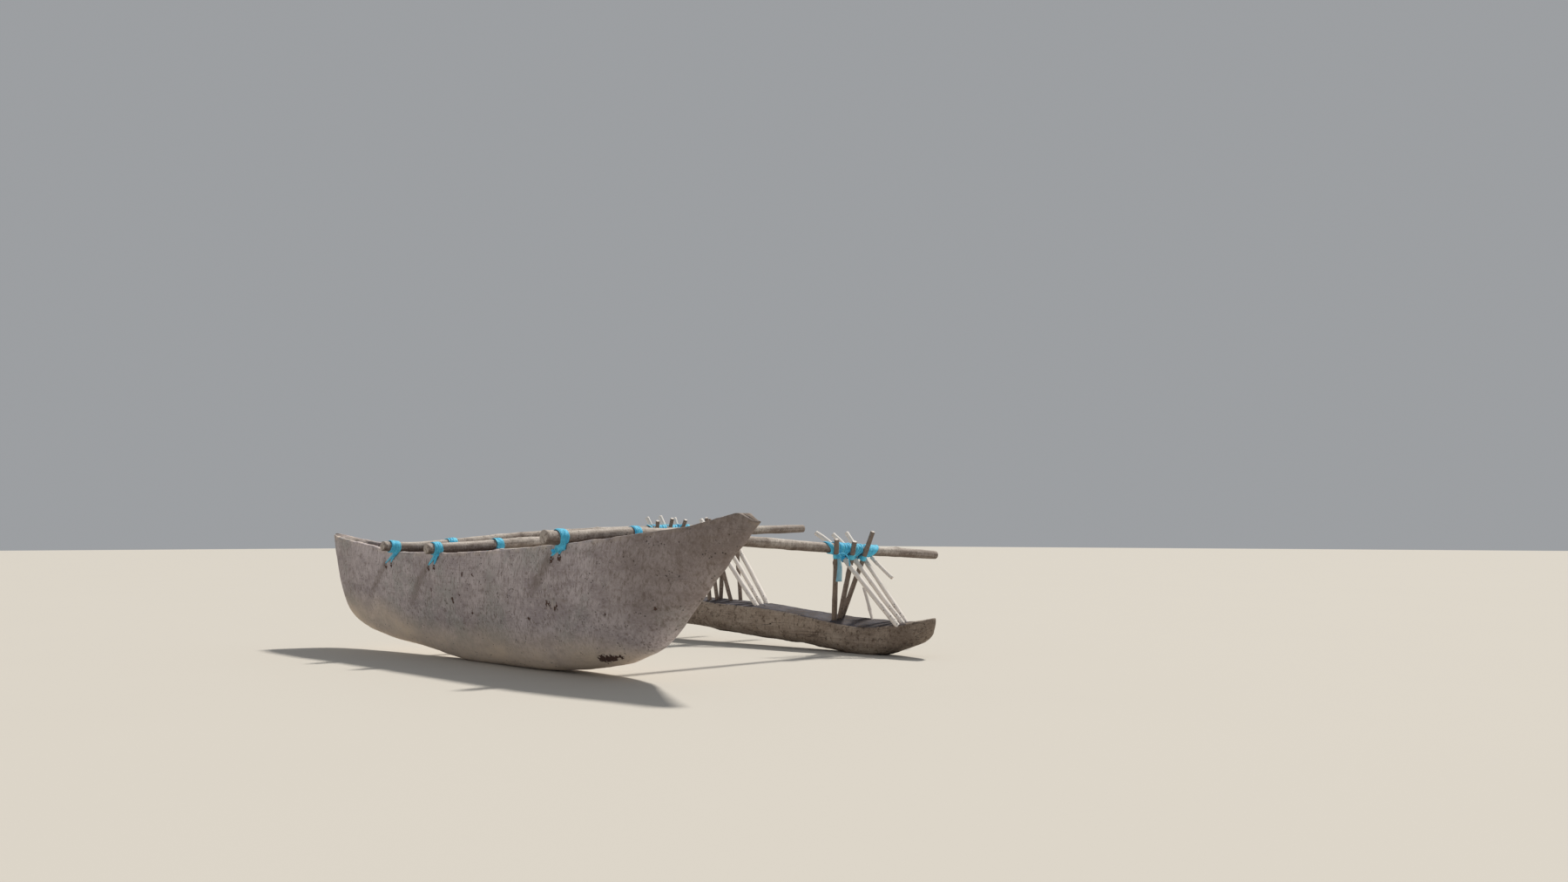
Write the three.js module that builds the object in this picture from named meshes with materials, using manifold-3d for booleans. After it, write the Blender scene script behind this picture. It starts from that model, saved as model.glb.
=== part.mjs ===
// Single outrigger canoe: a dugout hull, three natural poles lashed across its gunwales, and a
// log float carried under the poles on crossed pairs of sticks.
// Millimetres. +X is the bow, +Y the float's side, +Z up, and z = 0 the ground it rests on.
import * as THREE from 'three';
import { mergeVertices } from 'three/addons/utils/BufferGeometryUtils.js';
import Module from 'manifold-3d';

const wasm = await Module();
wasm.setup();

// Placing: y is measured from the middle of the gunwales, then the group shifts to the middle.
const HEEL = THREE.MathUtils.degToRad(3);     // the hull leans away from its float
const HEEL_HEIGHT = 600;                      // height of the axis that it leans about
const GAP = 0.35;                             // clearance kept between touching pieces

// Hull, upright: [x, value] along its length.
const SHEER = [[-1771, 637], [-1700, 630], [-1600, 623], [-1406, 609], [-1190, 592], [-1092, 584],
  [-1027, 574], [-800, 556], [-600, 552], [-360, 553], [-100, 560], [245, 576], [500, 590], [734, 606],
  [938, 621], [1151, 642], [1290, 657], [1430, 671], [1584, 701], [1665, 719], [1705, 724],
  [1739, 711], [1776, 694], [1798, 688]];
const KEEL = [[-1771, 629], [-1763, 585], [-1752, 520], [-1728, 455], [-1700, 386], [-1676, 328],
  [-1634, 254], [-1582, 199], [-1500, 155], [-1425, 131], [-1320, 106], [-1200, 87], [-1091, 72],
  [-850, 54], [-700, 28], [-580, 3], [-480, -4], [-129, -5], [202, -4], [400, 2], [551, 12], [793, 40],
  [930, 62], [1045, 98], [1149, 137], [1234, 188], [1284, 228], [1327, 271], [1400, 336],
  [1458, 385], [1514, 438], [1578, 488], [1618, 531], [1653, 562], [1703, 597], [1747, 638],
  [1798, 682]];
const PORT_RISE = [[-1771, 8], [-1709, 4], [-1659, -3], [-1599, -10], [-1536, -13], [-1470, -17],
  [-1422, -21], [-1250, -16], [-1000, -2], [-800, 3], [-500, 0]];                        // port gunwale, hewn a little out of line at the stern
const HALF_BEAM = [[-1771, 7], [-1740, 20], [-1690, 38], [-1600, 64], [-1406, 97], [-1190, 124],
  [-1027, 138], [-800, 152], [-600, 161], [-360, 171], [-100, 181], [245, 191], [500, 195],
  [734, 195], [938, 184], [1033, 174], [1151, 157], [1291, 131], [1430, 102], [1584, 65],
  [1680, 42], [1723, 31], [1763, 20], [1798, 7]];
const FULLNESS = [[-1771, 1.8], [-1600, 1.95], [-1200, 1.95], [-900, 1.84], [-600, 1.86],
  [-300, 2.0], [0, 2.2], [300, 2.5], [700, 2.45], [950, 2.2], [1250, 1.85], [1500, 1.7], [1798, 1.7]];
const HOLLOW = [[-1500, 0], [-1470, 55], [-1400, 120], [-1250, 265], [-1100, 368], [-850, 450],
  [-500, 502], [300, 525], [700, 512], [950, 470], [1100, 405], [1230, 300], [1330, 175],
  [1390, 70], [1415, 0]];                      // depth of the hollow under the gunwale
const STATIONS = [-1771, -1752, -1720, -1660, -1580, -1500, -1470, -1400, -1320, -1230, -1100,
  -950, -800, -580, -360, -100, 150, 430, 734, 860, 980, 1100, 1180, 1260, 1330, 1390, 1415,
  1500, 1600, 1680, 1723, 1763, 1798];
const WALL = 27;                              // gunwale thickness
const KEEL_WOOD = 44;                         // least wood under the hollow
const TUMBLEHOME = 0.06;
const SIDE_POINTS = 9;
const HOLLOW_POINTS = 7;

// Cross poles: the free end beside the hull (y, lift), sag between the gunwales, radii, and the
// path [x, y, z] outboard of the hull.
const BOOMS = [
  { name: 'bow', x: 739, near: [-303, 9], sag: 0, butt: 34, mid: 29, tip: 25.5,
    outer: [[747, 560, 630], [741, 932, 602], [735, 1511, 571], [739, 1741, 555], [744, 2100, 538],
      [741, 2449, 521]] },
  { name: 'mid', x: -360, near: [-238, 0], sag: 2, butt: 28.5, mid: 27, tip: 26,
    outer: [[-364, 560, 608], [-352, 1000, 634], [-356, 1500, 656], [-360, 1741, 660],
      [-366, 2016, 668], [-360, 2478, 679]] },
  { name: 'stern', x: -800, near: [-236, 11], sag: 6, butt: 27.5, mid: 26, tip: 23,
    outer: [[-794, 560, 622], [-806, 1000, 650], [-803, 1500, 668], [-800, 1741, 672],
      [-796, 2060, 680], [-803, 2440, 688]] },
];
const POLE_SIDES = 12;

// Gunwale lashings: a wrap round the pole, and two strips that run down through a pair of holes.
const WRAP_THICK = 5;
const WRAP_OUTBOARD = 30;                     // past the hull's side
const WRAP_INBOARD = 6;                       // past the gunwale's inner edge
const STRIP = [15, 4.5];                      // width and thickness of a run of strips
const HOLE_RADIUS = 8;
const HOLES = {                               // along the hull from the pole, below the gunwale
  bow: [[-86, 60], [-28, 50]], mid: [[-92, 67], [-36, 62]], stern: [[-126, 66], [-64, 60]],
};

// Float: [x, top height at its outer edge], [x, how far the inner edge lies below that],
// [x, bottom height], [x, half width].
const FLOAT_Y = 1735;
const FLOAT_TOP = [[-1282, 335], [-1200, 310], [-1080, 291], [-900, 276], [-411, 257], [53, 240],
  [265, 222], [511, 203], [669, 194], [925, 186], [1054, 182], [1120, 184], [1200, 191], [1294, 206]];
const FLOAT_SLOPE = [[-1282, 0], [-900, 6], [-411, 11], [53, 14], [265, 10], [453, 15], [610, 26],
  [751, 38], [860, 37], [933, 33], [1054, 18], [1120, 12], [1200, 6], [1294, 2]];
const FLOAT_BOTTOM = [[-1282, 300], [-1262, 240], [-1200, 185], [-1080, 142], [-900, 118],
  [-411, 87], [31, 60], [378, 38], [611, 20], [760, 2], [861, -4], [930, 3], [993, 14],
  [1122, 44], [1220, 78], [1275, 120], [1294, 180]];
const FLOAT_HALF = [[-1282, 18], [-1250, 40], [-1150, 64], [-950, 78], [-400, 86], [300, 90],
  [860, 86], [1020, 76], [1150, 60], [1250, 38], [1294, 15]];
const FLOAT_STATIONS = [-1282, -1262, -1220, -1150, -1050, -900, -680, -420, -150, 130, 400, 600,
  760, 861, 930, 1010, 1100, 1180, 1240, 1275, 1294];
const FLOAT_SIDES = 18;

// Float sticks: where each crosses its pole (y), where it meets the float's top (x from the pole,
// y), its height above the pole, and how far its upper end bends away from the bow and the float.
// Fore sticks pass astern of the pole and lean to the bow.
const SOCKET_DEPTH = 28;
const STICKS = [
  { boom: 'bow', side: 'fore', y: 1663, foot: [353, 1682], over: 118, radius: 13, lean: 26 },
  { boom: 'bow', side: 'fore', y: 1753, foot: [344, 1738], over: 115, radius: 12.5, lean: 10 },
  { boom: 'bow', side: 'fore', y: 1838, foot: [324, 1790], over: 127, radius: 12 },
  { boom: 'bow', side: 'aft', y: 1560, foot: [-105, 1694], over: 60, radius: 13.5 },
  { boom: 'bow', side: 'aft', y: 1688, foot: [-100, 1735], over: 57, radius: 13.5 },
  { boom: 'bow', side: 'aft', y: 1789, foot: [-124, 1783], over: 119, radius: 13 },
  { boom: 'mid', side: 'fore', y: 1715, foot: [400, 1682], over: 100, radius: 13.5 },
  { boom: 'mid', side: 'fore', y: 1793, foot: [382, 1738], over: 92, radius: 12 },
  { boom: 'mid', side: 'fore', y: 1889, foot: [382, 1788], over: 110, radius: 13.5 },
  { boom: 'mid', side: 'aft', y: 1588, foot: [-14, 1688], over: 60, radius: 11.5 },
  { boom: 'mid', side: 'aft', y: 1622, foot: [20, 1716], over: 82, radius: 11 },
  { boom: 'mid', side: 'aft', y: 1655, foot: [114, 1744], over: 66, radius: 11 },
  { boom: 'mid', side: 'aft', y: 1756, foot: [4, 1760], over: 74, radius: 11.5 },
  { boom: 'mid', side: 'aft', y: 1851, foot: [146, 1790], over: 88, radius: 11 },
  { boom: 'stern', side: 'fore', y: 1640, foot: [226, 1686], over: 96, radius: 12 },
  { boom: 'stern', side: 'fore', y: 1740, foot: [238, 1738], over: 104, radius: 12.5 },
  { boom: 'stern', side: 'fore', y: 1836, foot: [214, 1790], over: 90, radius: 12 },
  { boom: 'stern', side: 'aft', y: 1596, foot: [-150, 1692], over: 70, radius: 12.5 },
  { boom: 'stern', side: 'aft', y: 1702, foot: [-122, 1738], over: 82, radius: 12 },
  { boom: 'stern', side: 'aft', y: 1800, foot: [-138, 1784], over: 74, radius: 12 },
];
const STICK_SIDES = 8;
const WEDGE = { from: [754, 1868, 513], to: [901, 1871, 403], radius: 10.5 };
const THIN_STICK = { from: [718, 1845, 347], to: [848, 1777, 150], radius: 8.5 };

// Float lashings: span along each pole, and the collars that hold the sticks to it.
const FLOAT_LASHINGS = [
  { boom: 'bow', from: 1500, to: 1934 },
  { boom: 'mid', from: 1546, to: 1946 },
  { boom: 'stern', from: 1544, to: 1900 },
];
const LASHING_THICK = 8;
const COLLAR_THICK = 5;
const COLLAR_REACH = [-40, 20];                // along a stick, from where it passes the pole
const TAIL = { start: 20, length: 148, radius: 4 };  // hangs from the first collar

const WOOD = { hull: 0x83786d, pole: 0xa89d8c, stick: 0x8f8271, dark: 0x5f544a, float: 0x7d7267 };
const CLOTH = 0x2fb4dc;

const V = (x, y, z) => new THREE.Vector3(x, y, z);

// Smooth curve through [x, value] rows.
function along(rows, x) {
  const last = rows.length - 1;
  if (x <= rows[0][0]) return rows[0][1];
  if (x >= rows[last][0]) return rows[last][1];
  let i = 0;
  while (rows[i + 1][0] < x) i += 1;
  const step = (k) => (rows[k + 1][1] - rows[k][1]) / (rows[k + 1][0] - rows[k][0]);
  const slope = (k) => {
    if (k === 0) return step(0);
    if (k === last) return step(last - 1);
    const a = step(k - 1), b = step(k);
    return a * b <= 0 ? 0 : (2 * a * b) / (a + b);
  };
  const h = rows[i + 1][0] - rows[i][0];
  const t = (x - rows[i][0]) / h;
  return (2 * t ** 3 - 3 * t ** 2 + 1) * rows[i][1] + (t ** 3 - 2 * t ** 2 + t) * h * slope(i)
    + (3 * t ** 2 - 2 * t ** 3) * rows[i + 1][1] + (t ** 3 - t ** 2) * h * slope(i + 1);
}

// Closed solid through rings of points, with a fan at each end.
function loft(rings) {
  const count = rings[0].length;
  const points = rings.flat();
  const index = [];
  for (let r = 0; r + 1 < rings.length; r += 1) {
    for (let k = 0; k < count; k += 1) {
      const a = r * count + k, b = r * count + ((k + 1) % count);
      index.push(a, b, b + count, a, b + count, a + count);
    }
  }
  for (const [r, flip] of [[0, true], [rings.length - 1, false]]) {
    const centre = rings[r].reduce((sum, p) => sum.add(p), V(0, 0, 0)).divideScalar(count);
    points.push(centre);
    for (let k = 0; k < count; k += 1) {
      const a = r * count + k, b = r * count + ((k + 1) % count);
      index.push(points.length - 1, flip ? b : a, flip ? a : b);
    }
  }
  const geometry = new THREE.BufferGeometry().setFromPoints(points);
  geometry.setIndex(index);
  return outward(geometry);
}

function signedVolume(geometry) {
  const at = geometry.getAttribute('position'), index = geometry.getIndex();
  const [a, b, c] = [V(0, 0, 0), V(0, 0, 0), V(0, 0, 0)];
  let sum = 0;
  for (let i = 0; i < index.count; i += 3) {
    a.fromBufferAttribute(at, index.getX(i));
    b.fromBufferAttribute(at, index.getX(i + 1));
    c.fromBufferAttribute(at, index.getX(i + 2));
    sum += a.dot(b.clone().cross(c));
  }
  return sum / 6;
}

function outward(geometry) {
  if (signedVolume(geometry) < 0) {
    const list = geometry.getIndex().array;
    for (let i = 0; i < list.length; i += 3) [list[i + 1], list[i + 2]] = [list[i + 2], list[i + 1]];
  }
  return geometry;
}

// Round bar through points, with a radius at each: rings stand square to the path.
function bar(path, radii, sides, turn = 0) {
  const rings = path.map((p, i) => {
    const ahead = path[Math.min(i + 1, path.length - 1)].clone();
    const way = ahead.sub(path[Math.max(i - 1, 0)]).normalize();
    const up = Math.abs(way.z) < 0.9 ? V(0, 0, 1) : V(1, 0, 0);
    const side = way.clone().cross(up).normalize();
    const top = side.clone().cross(way);
    return Array.from({ length: sides }, (_, k) => {
      const angle = turn + (k / sides) * Math.PI * 2;
      return p.clone().addScaledVector(side, Math.cos(angle) * radii[i])
        .addScaledVector(top, Math.sin(angle) * radii[i]);
    });
  });
  return loft(rings);
}

function solid(geometry) {
  let clean = geometry.clone();
  clean.deleteAttribute('normal');
  clean.deleteAttribute('uv');
  clean = mergeVertices(clean, 1e-4);
  return new wasm.Manifold(new wasm.Mesh({
    numProp: 3,
    vertProperties: clean.getAttribute('position').array,
    triVerts: new Uint32Array(clean.getIndex().array),
  }));
}

function geometryOf(shape) {
  const mesh = shape.getMesh();
  const geometry = new THREE.BufferGeometry();
  geometry.setAttribute('position', new THREE.BufferAttribute(new Float32Array(mesh.vertProperties), 3));
  geometry.setIndex(new THREE.BufferAttribute(new Uint32Array(mesh.triVerts), 1));
  geometry.computeVertexNormals();
  return geometry;
}

function block(width, depth, height, x, y, z) {
  return solid(new THREE.BoxGeometry(width, depth, height).translate(x, y, z));
}

// Turns an upright point of the hull into its lean.
function heel(p) {
  const dz = p.z - HEEL_HEIGHT;
  return V(p.x, p.y * Math.cos(HEEL) - dz * Math.sin(HEEL),
    HEEL_HEIGHT + p.y * Math.sin(HEEL) + dz * Math.cos(HEEL));
}

// Half breadth of the outer or inner side at a share of its height, 0 at the bottom.
function sidePoint(half, fullness, turn) {
  const out = Math.sin(turn) ** (2 / fullness), drop = Math.cos(turn) ** (2 / fullness);
  const tuck = 1 - TUMBLEHOME * Math.max(0, (1 - drop - 0.5) / 0.5) ** 2;
  return [half * out * tuck / (1 - TUMBLEHOME), drop];
}

function hullRing(x, grow) {
  const sheer = along(SHEER, x), keel = along(KEEL, x) - grow;
  const half = along(HALF_BEAM, x) + grow, fullness = along(FULLNESS, x);
  const wall = WALL + 2 * grow;
  const innerHalf = Math.max(half - wall, half * 0.45);
  const open = along(HOLLOW, x);
  const hollow = Math.max(0, Math.min(open, sheer - keel - KEEL_WOOD) - (open > 0 ? grow : 0));
  const ring = [];
  for (let k = 0; k < SIDE_POINTS; k += 1) {
    const [y, drop] = sidePoint(half, fullness, (1 - k / SIDE_POINTS) * Math.PI / 2);
    ring.push(V(x, -y, sheer - drop * (sheer - keel)));
  }
  ring.push(V(x, 0, keel));
  for (let k = SIDE_POINTS - 1; k >= 0; k -= 1) ring.push(V(x, -ring[k].y, ring[k].z));
  const inner = [];
  for (let k = 0; k < HOLLOW_POINTS; k += 1) {
    const [y, drop] = sidePoint(innerHalf, fullness, (1 - k / HOLLOW_POINTS) * Math.PI / 2);
    inner.push(V(x, y, sheer - drop * hollow));
  }
  const down = [...inner, V(x, 0, sheer - hollow)];
  for (let k = HOLLOW_POINTS - 1; k >= 0; k -= 1) down.push(V(x, -inner[k].y, inner[k].z));
  const rise = along(PORT_RISE, x);
  for (const p of [...ring, ...down]) {
    if (p.z > sheer - 1e-6) p.z += grow;
    const share = Math.max(0, (p.z - keel) / (sheer - keel));
    if (p.y > 0) p.z += rise * share ** 2 * Math.min(1, p.y / (half * 0.5));
  }
  return [...ring, ...down].map(heel);
}

// Outer or inner side of the upright hull at a height, as a distance from its middle.
function sideAt(x, z, inside) {
  const sheer = along(SHEER, x), fullness = along(FULLNESS, x);
  const half = along(HALF_BEAM, x) - (inside ? WALL : 0);
  const depth = inside ? along(HOLLOW, x) : sheer - along(KEEL, x);
  const drop = Math.min(1, Math.max(0, (sheer - z) / depth));
  const turn = Math.acos(Math.min(1, drop ** (fullness / 2)));
  return sidePoint(half, fullness, turn)[0];
}

function plainHull(grow) {
  return solid(loft(STATIONS.map((x) => hullRing(x, grow))));
}

// Over the hull a pole lies on both gunwales, so there it follows the hull's lean.
function boomPath(boom) {
  const rest = along(SHEER, boom.x) + boom.mid - 1.6;
  const half = along(HALF_BEAM, boom.x);
  const seat = (y, lift = 0) => heel(V(boom.x, y, rest + lift));
  const inboard = [
    seat(...boom.near), seat(-half - 15, boom.near[1] * 0.2), seat(-half * 0.4, -boom.sag),
    seat(half * 0.4, -boom.sag), seat(half + 15),
  ];
  return [...inboard, ...boom.outer.map(([x, y, z]) => V(x, y, z))];
}

function boomRings(boom, grow = 0) {
  const curve = new THREE.CatmullRomCurve3(boomPath(boom), false, 'centripetal');
  const steps = 22;
  const path = curve.getSpacedPoints(steps);
  const radii = path.map((p, i) => {
    const t = i / steps;
    const base = t < 0.12 ? THREE.MathUtils.lerp(boom.butt, boom.mid, t / 0.12)
      : THREE.MathUtils.lerp(boom.mid, boom.tip, (t - 0.12) / 0.88);
    return (i === 0 || i === steps ? base - 1.5 : base) + grow;
  });
  return { path, radii };
}

function boomSolid(boom, grow = 0) {
  const { path, radii } = boomRings(boom, grow);
  if (grow) {
    path[0].y -= grow;
    path[path.length - 1].y += grow;
  }
  return solid(bar(path, radii, POLE_SIDES));
}

// Centre of a pole at a given y.
function boomAt(boom, y) {
  const { path, radii } = boomRings(boom);
  let i = 0;
  while (i < path.length - 2 && path[i + 1].y < y) i += 1;
  const t = (y - path[i].y) / (path[i + 1].y - path[i].y);
  const radius = THREE.MathUtils.lerp(radii[i], radii[i + 1], t);
  return { at: path[i].clone().lerp(path[i + 1], t), radius };
}

// Tube round a pole between two values of y.
function sleeve(boom, from, to, thick, steps) {
  const path = [], radii = [];
  for (let i = 0; i <= steps; i += 1) {
    const { at, radius } = boomAt(boom, from + ((to - from) * i) / steps);
    path.push(at);
    radii.push(radius + thick);
  }
  return solid(bar(path, radii, POLE_SIDES));
}

// Flat run of strips through points, its width along the hull.
function strip(points, width, thick) {
  const rings = points.map((p, i) => {
    const ahead = points[Math.min(i + 1, points.length - 1)].clone();
    const way = ahead.sub(points[Math.max(i - 1, 0)]).normalize();
    const across = V(1, 0, 0).addScaledVector(way, -way.x).normalize();
    const out = way.clone().cross(across).normalize();
    return [[-1, -1], [1, -1], [1, 1], [-1, 1]].map(([a, b]) => p.clone()
      .addScaledVector(across, a * width / 2).addScaledVector(out, b * thick / 2));
  });
  return solid(loft(rings));
}

function gunwaleLashing(boom, side, hull, pole) {
  const half = along(HALF_BEAM, boom.x), sheer = along(SHEER, boom.x);
  const outer = half + WRAP_OUTBOARD, inner = half - WALL - WRAP_INBOARD;
  const [from, to] = side < 0 ? [-outer, -inner] : [inner, outer];
  let shape = sleeve(boom, from, to, WRAP_THICK, 2);
  HOLES[boom.name].forEach(([offset, depth], n) => {
    const levels = [-12, 16, depth - 18, depth];
    const start = boom.x + boom.mid * (n === 0 ? -1 : 0.3);
    const reach = (inside) => levels.map((drop, i) => {
      const x = THREE.MathUtils.lerp(start, boom.x + offset, Math.min(1, i / 2.4));
      const y = sideAt(x, sheer - Math.max(drop, 0), inside) + (inside ? -2.4 : 2.4);
      return heel(V(x, side * y, sheer - drop));
    });
    shape = shape.add(strip(reach(false), STRIP[0], STRIP[1])).add(strip(reach(true), STRIP[0], STRIP[1]));
    const x = boom.x + offset;
    const plug = [sideAt(x, sheer - depth, false) + 3, sideAt(x, sheer - depth, true) - 3]
      .map((y) => heel(V(x, side * y, sheer - depth)));
    shape = shape.add(solid(bar(plug, [6.2, 6.2], 8)));
  });
  return shape.subtract(hull).subtract(pole);
}

function lashHole(boom, side, [offset, depth], radius) {
  const x = boom.x + offset, z = along(SHEER, boom.x) - depth;
  const ends = [sideAt(x, z, false) + 12, sideAt(x, z, true) - 12].map((y) => heel(V(x, side * y, z)));
  return solid(bar(ends, [radius, radius], 10));
}

// Height of the float's flat top, which slopes down towards the hull.
function floatTop(x, y) {
  const half = along(FLOAT_HALF, x);
  const share = THREE.MathUtils.clamp((FLOAT_Y + half - y) / (2 * half), 0, 1);
  return along(FLOAT_TOP, x) - along(FLOAT_SLOPE, x) * share;
}

// Outline of the float log, flat on top with a crisp edge, and round below.
function floatRing(x) {
  const bottom = along(FLOAT_BOTTOM, x), half = along(FLOAT_HALF, x);
  const belt = bottom + (along(FLOAT_TOP, x) - bottom) * 0.55;
  return Array.from({ length: FLOAT_SIDES }, (_, k) => {
    const angle = ((k + 0.5) / FLOAT_SIDES) * Math.PI * 2;
    const c = Math.cos(angle), s = Math.sin(angle);
    const y = FLOAT_Y + half * Math.sign(c) * Math.abs(c) ** (s > 0 ? 2 / 5 : 2 / 2.6);
    if (s > 0) return V(x, y, belt + (floatTop(x, y) - belt) * s ** (2 / 10));
    return V(x, y, belt - (belt - bottom) * Math.abs(s) ** (2 / 2.2));
  });
}

// A stick passes its pole at radius + radius, so its slant follows from its foot.
function stickAxis(stick) {
  const boom = BOOMS.find((b) => b.name === stick.boom);
  const { at, radius } = boomAt(boom, stick.y);
  const [x, y] = [boom.x + stick.foot[0], stick.foot[1]];
  const seat = V(x, y, floatTop(x, y) - 4);
  const dx = at.x - seat.x, dz = at.z - seat.z;
  const off = radius + stick.radius + 2.5;
  const swing = Math.asin(off / Math.hypot(dx, dz)) * (stick.side === 'fore' ? 1 : -1);
  const angle = Math.atan2(dz, dx) + swing;
  const way = V(Math.cos(angle), 0, Math.sin(angle));
  const reach = Math.sqrt(dx * dx + dz * dz - off * off);
  way.y = (stick.y - seat.y) / reach;
  const touch = seat.clone().addScaledVector(way, reach);
  const foot = seat.clone().addScaledVector(way, -SOCKET_DEPTH / way.z);
  const top = touch.clone().addScaledVector(way, stick.over / way.z);
  return { foot, touch, top };
}

function stickSolid(stick, grow = 0) {
  const { foot, touch, top } = stickAxis(stick);
  const bend = touch.clone().lerp(top, 0.3);
  const path = [foot, foot.clone().lerp(bend, 0.5), bend, top.clone()];
  const lean = stick.lean ?? 0;
  path[3].add(V(-lean, -lean, 0));
  const radii = [0.94, 1, 0.98, 0.9].map((share) => stick.radius * share + grow);
  if (grow) extend(path, grow);
  return solid(bar(path, radii, STICK_SIDES));
}

function extend(path, by) {
  const way = path[path.length - 1].clone().sub(path[0]).normalize();
  path[0].addScaledVector(way, -by);
  path[path.length - 1].addScaledVector(way, by);
}

function rod(spec, grow = 0) {
  const path = [V(...spec.from), V(...spec.to)];
  if (grow) extend(path, grow);
  return solid(bar(path, [spec.radius + grow, spec.radius * 0.85 + grow], STICK_SIDES));
}

function floatLashing(spec, cutters) {
  const boom = BOOMS.find((b) => b.name === spec.boom);
  let shape = sleeve(boom, spec.from, spec.to, LASHING_THICK, 5);
  for (const stick of STICKS.filter((s) => s.boom === spec.boom)) {
    const { foot, touch } = stickAxis(stick);
    const way = touch.clone().sub(foot).normalize();
    const ends = COLLAR_REACH.map((d) => touch.clone().addScaledVector(way, d));
    shape = shape.add(solid(bar(ends, [stick.radius + COLLAR_THICK, stick.radius + COLLAR_THICK], 10)));
  }
  return cutters.reduce((s, c) => s.subtract(c), shape);
}

const canoe = new THREE.Group();
canoe.name = 'outrigger_canoe';

function put(name, shape, colour, roughness = 0.9) {
  const mesh = new THREE.Mesh(geometryOf(shape),
    new THREE.MeshStandardMaterial({ color: colour, roughness, metalness: 0 }));
  mesh.name = name;
  canoe.add(mesh);
}

const ground = block(5000, 5000, 100, 0, 500, -50);
let hull = plainHull(0);
let hullGrown = plainHull(GAP);
for (const boom of BOOMS) {
  hull = hull.subtract(boomSolid(boom, GAP));
  for (const side of [-1, 1]) {
    for (const hole of HOLES[boom.name]) {
      hull = hull.subtract(lashHole(boom, side, hole, HOLE_RADIUS));
      hullGrown = hullGrown.subtract(lashHole(boom, side, hole, HOLE_RADIUS - GAP));
    }
  }
}
put('hull', hull.subtract(ground), WOOD.hull);

for (const boom of BOOMS) put(`boom_${boom.name}`, boomSolid(boom), WOOD.pole);

for (const boom of BOOMS) {
  const pole = boomSolid(boom, GAP);
  put(`gunwale_lashing_${boom.name}_starboard`, gunwaleLashing(boom, -1, hullGrown, pole), CLOTH, 0.75);
  put(`gunwale_lashing_${boom.name}_port`, gunwaleLashing(boom, 1, hullGrown, pole), CLOTH, 0.75);
}

let float = solid(loft(FLOAT_STATIONS.map(floatRing)));
for (const stick of STICKS) float = float.subtract(stickSolid(stick, GAP));
float = float.subtract(rod(THIN_STICK, GAP)).subtract(ground);
put('float_log', float, WOOD.float);

const counts = {};
for (const stick of STICKS) {
  const key = `${stick.boom}_${stick.side}`;
  counts[key] = (counts[key] ?? 0) + 1;
  put(`stick_${key}_${counts[key]}`, stickSolid(stick), stick.side === 'fore' ? WOOD.stick : WOOD.dark);
}
put('wedge_stick_bow', rod(WEDGE), WOOD.stick);
put('thin_stick_bow', rod(THIN_STICK), WOOD.dark);

// The loose end of a strip hangs from the collar of the first aft stick at the bow pole.
function tail(grow = 0) {
  const stick = STICKS.find((s) => s.boom === 'bow' && s.side === 'aft');
  const { foot, touch } = stickAxis(stick);
  const way = touch.clone().sub(foot).normalize();
  const top = touch.clone().addScaledVector(way, -TAIL.start);
  top.x += stick.radius + TAIL.radius + 2;
  const path = [top, top.clone().add(V(3, 4, -TAIL.length * 0.5)), top.clone().add(V(-2, 2, -TAIL.length))];
  return solid(bar(path, path.map(() => TAIL.radius + grow), 8));
}

for (const spec of FLOAT_LASHINGS) {
  const boom = BOOMS.find((b) => b.name === spec.boom);
  const sticks = STICKS.filter((stick) => stick.boom === spec.boom);
  const cutters = [boomSolid(boom, GAP), ...sticks.map((stick) => stickSolid(stick, GAP))];
  if (spec.boom === 'bow') cutters.push(rod(WEDGE, GAP), tail(GAP));
  put(`float_lashing_${spec.boom}`, floatLashing(spec, cutters), CLOTH, 0.75);
}
put('lashing_tail_bow', tail(), CLOTH, 0.75);

// The origin stands on the ground under the middle of the whole canoe.
const extent = new THREE.Box3().setFromObject(canoe);
canoe.position.set(-(extent.min.x + extent.max.x) / 2, -(extent.min.y + extent.max.y) / 2, 0);

export default canoe;
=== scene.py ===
"""Weathered dugout canoe with a log float: its surfaces, lashings and studio."""

import math
import random

import bpy
import numpy as np
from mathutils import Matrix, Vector, noise


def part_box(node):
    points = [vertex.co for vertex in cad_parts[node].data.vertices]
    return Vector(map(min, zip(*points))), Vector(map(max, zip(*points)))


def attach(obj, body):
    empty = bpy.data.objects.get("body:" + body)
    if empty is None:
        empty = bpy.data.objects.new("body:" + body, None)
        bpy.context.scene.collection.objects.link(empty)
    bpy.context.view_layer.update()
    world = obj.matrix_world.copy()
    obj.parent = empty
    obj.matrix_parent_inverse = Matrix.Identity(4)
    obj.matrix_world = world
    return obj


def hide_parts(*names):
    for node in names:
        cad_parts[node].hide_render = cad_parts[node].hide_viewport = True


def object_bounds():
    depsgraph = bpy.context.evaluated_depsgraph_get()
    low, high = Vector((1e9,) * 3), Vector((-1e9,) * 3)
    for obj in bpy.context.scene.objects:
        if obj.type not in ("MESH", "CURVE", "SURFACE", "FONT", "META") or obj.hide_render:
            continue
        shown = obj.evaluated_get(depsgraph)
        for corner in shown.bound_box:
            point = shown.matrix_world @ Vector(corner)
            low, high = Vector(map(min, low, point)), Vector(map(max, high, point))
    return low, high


bl_info = {
    "name": "Outrigger canoe",
    "version": (1, 0, 0),
    "blender": (4, 5, 0),
    "location": "View3D > Sidebar > Canoe",
    "description": "Finishes a dugout outrigger canoe around its fixed frame",
    "category": "Add Mesh",
}

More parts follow.
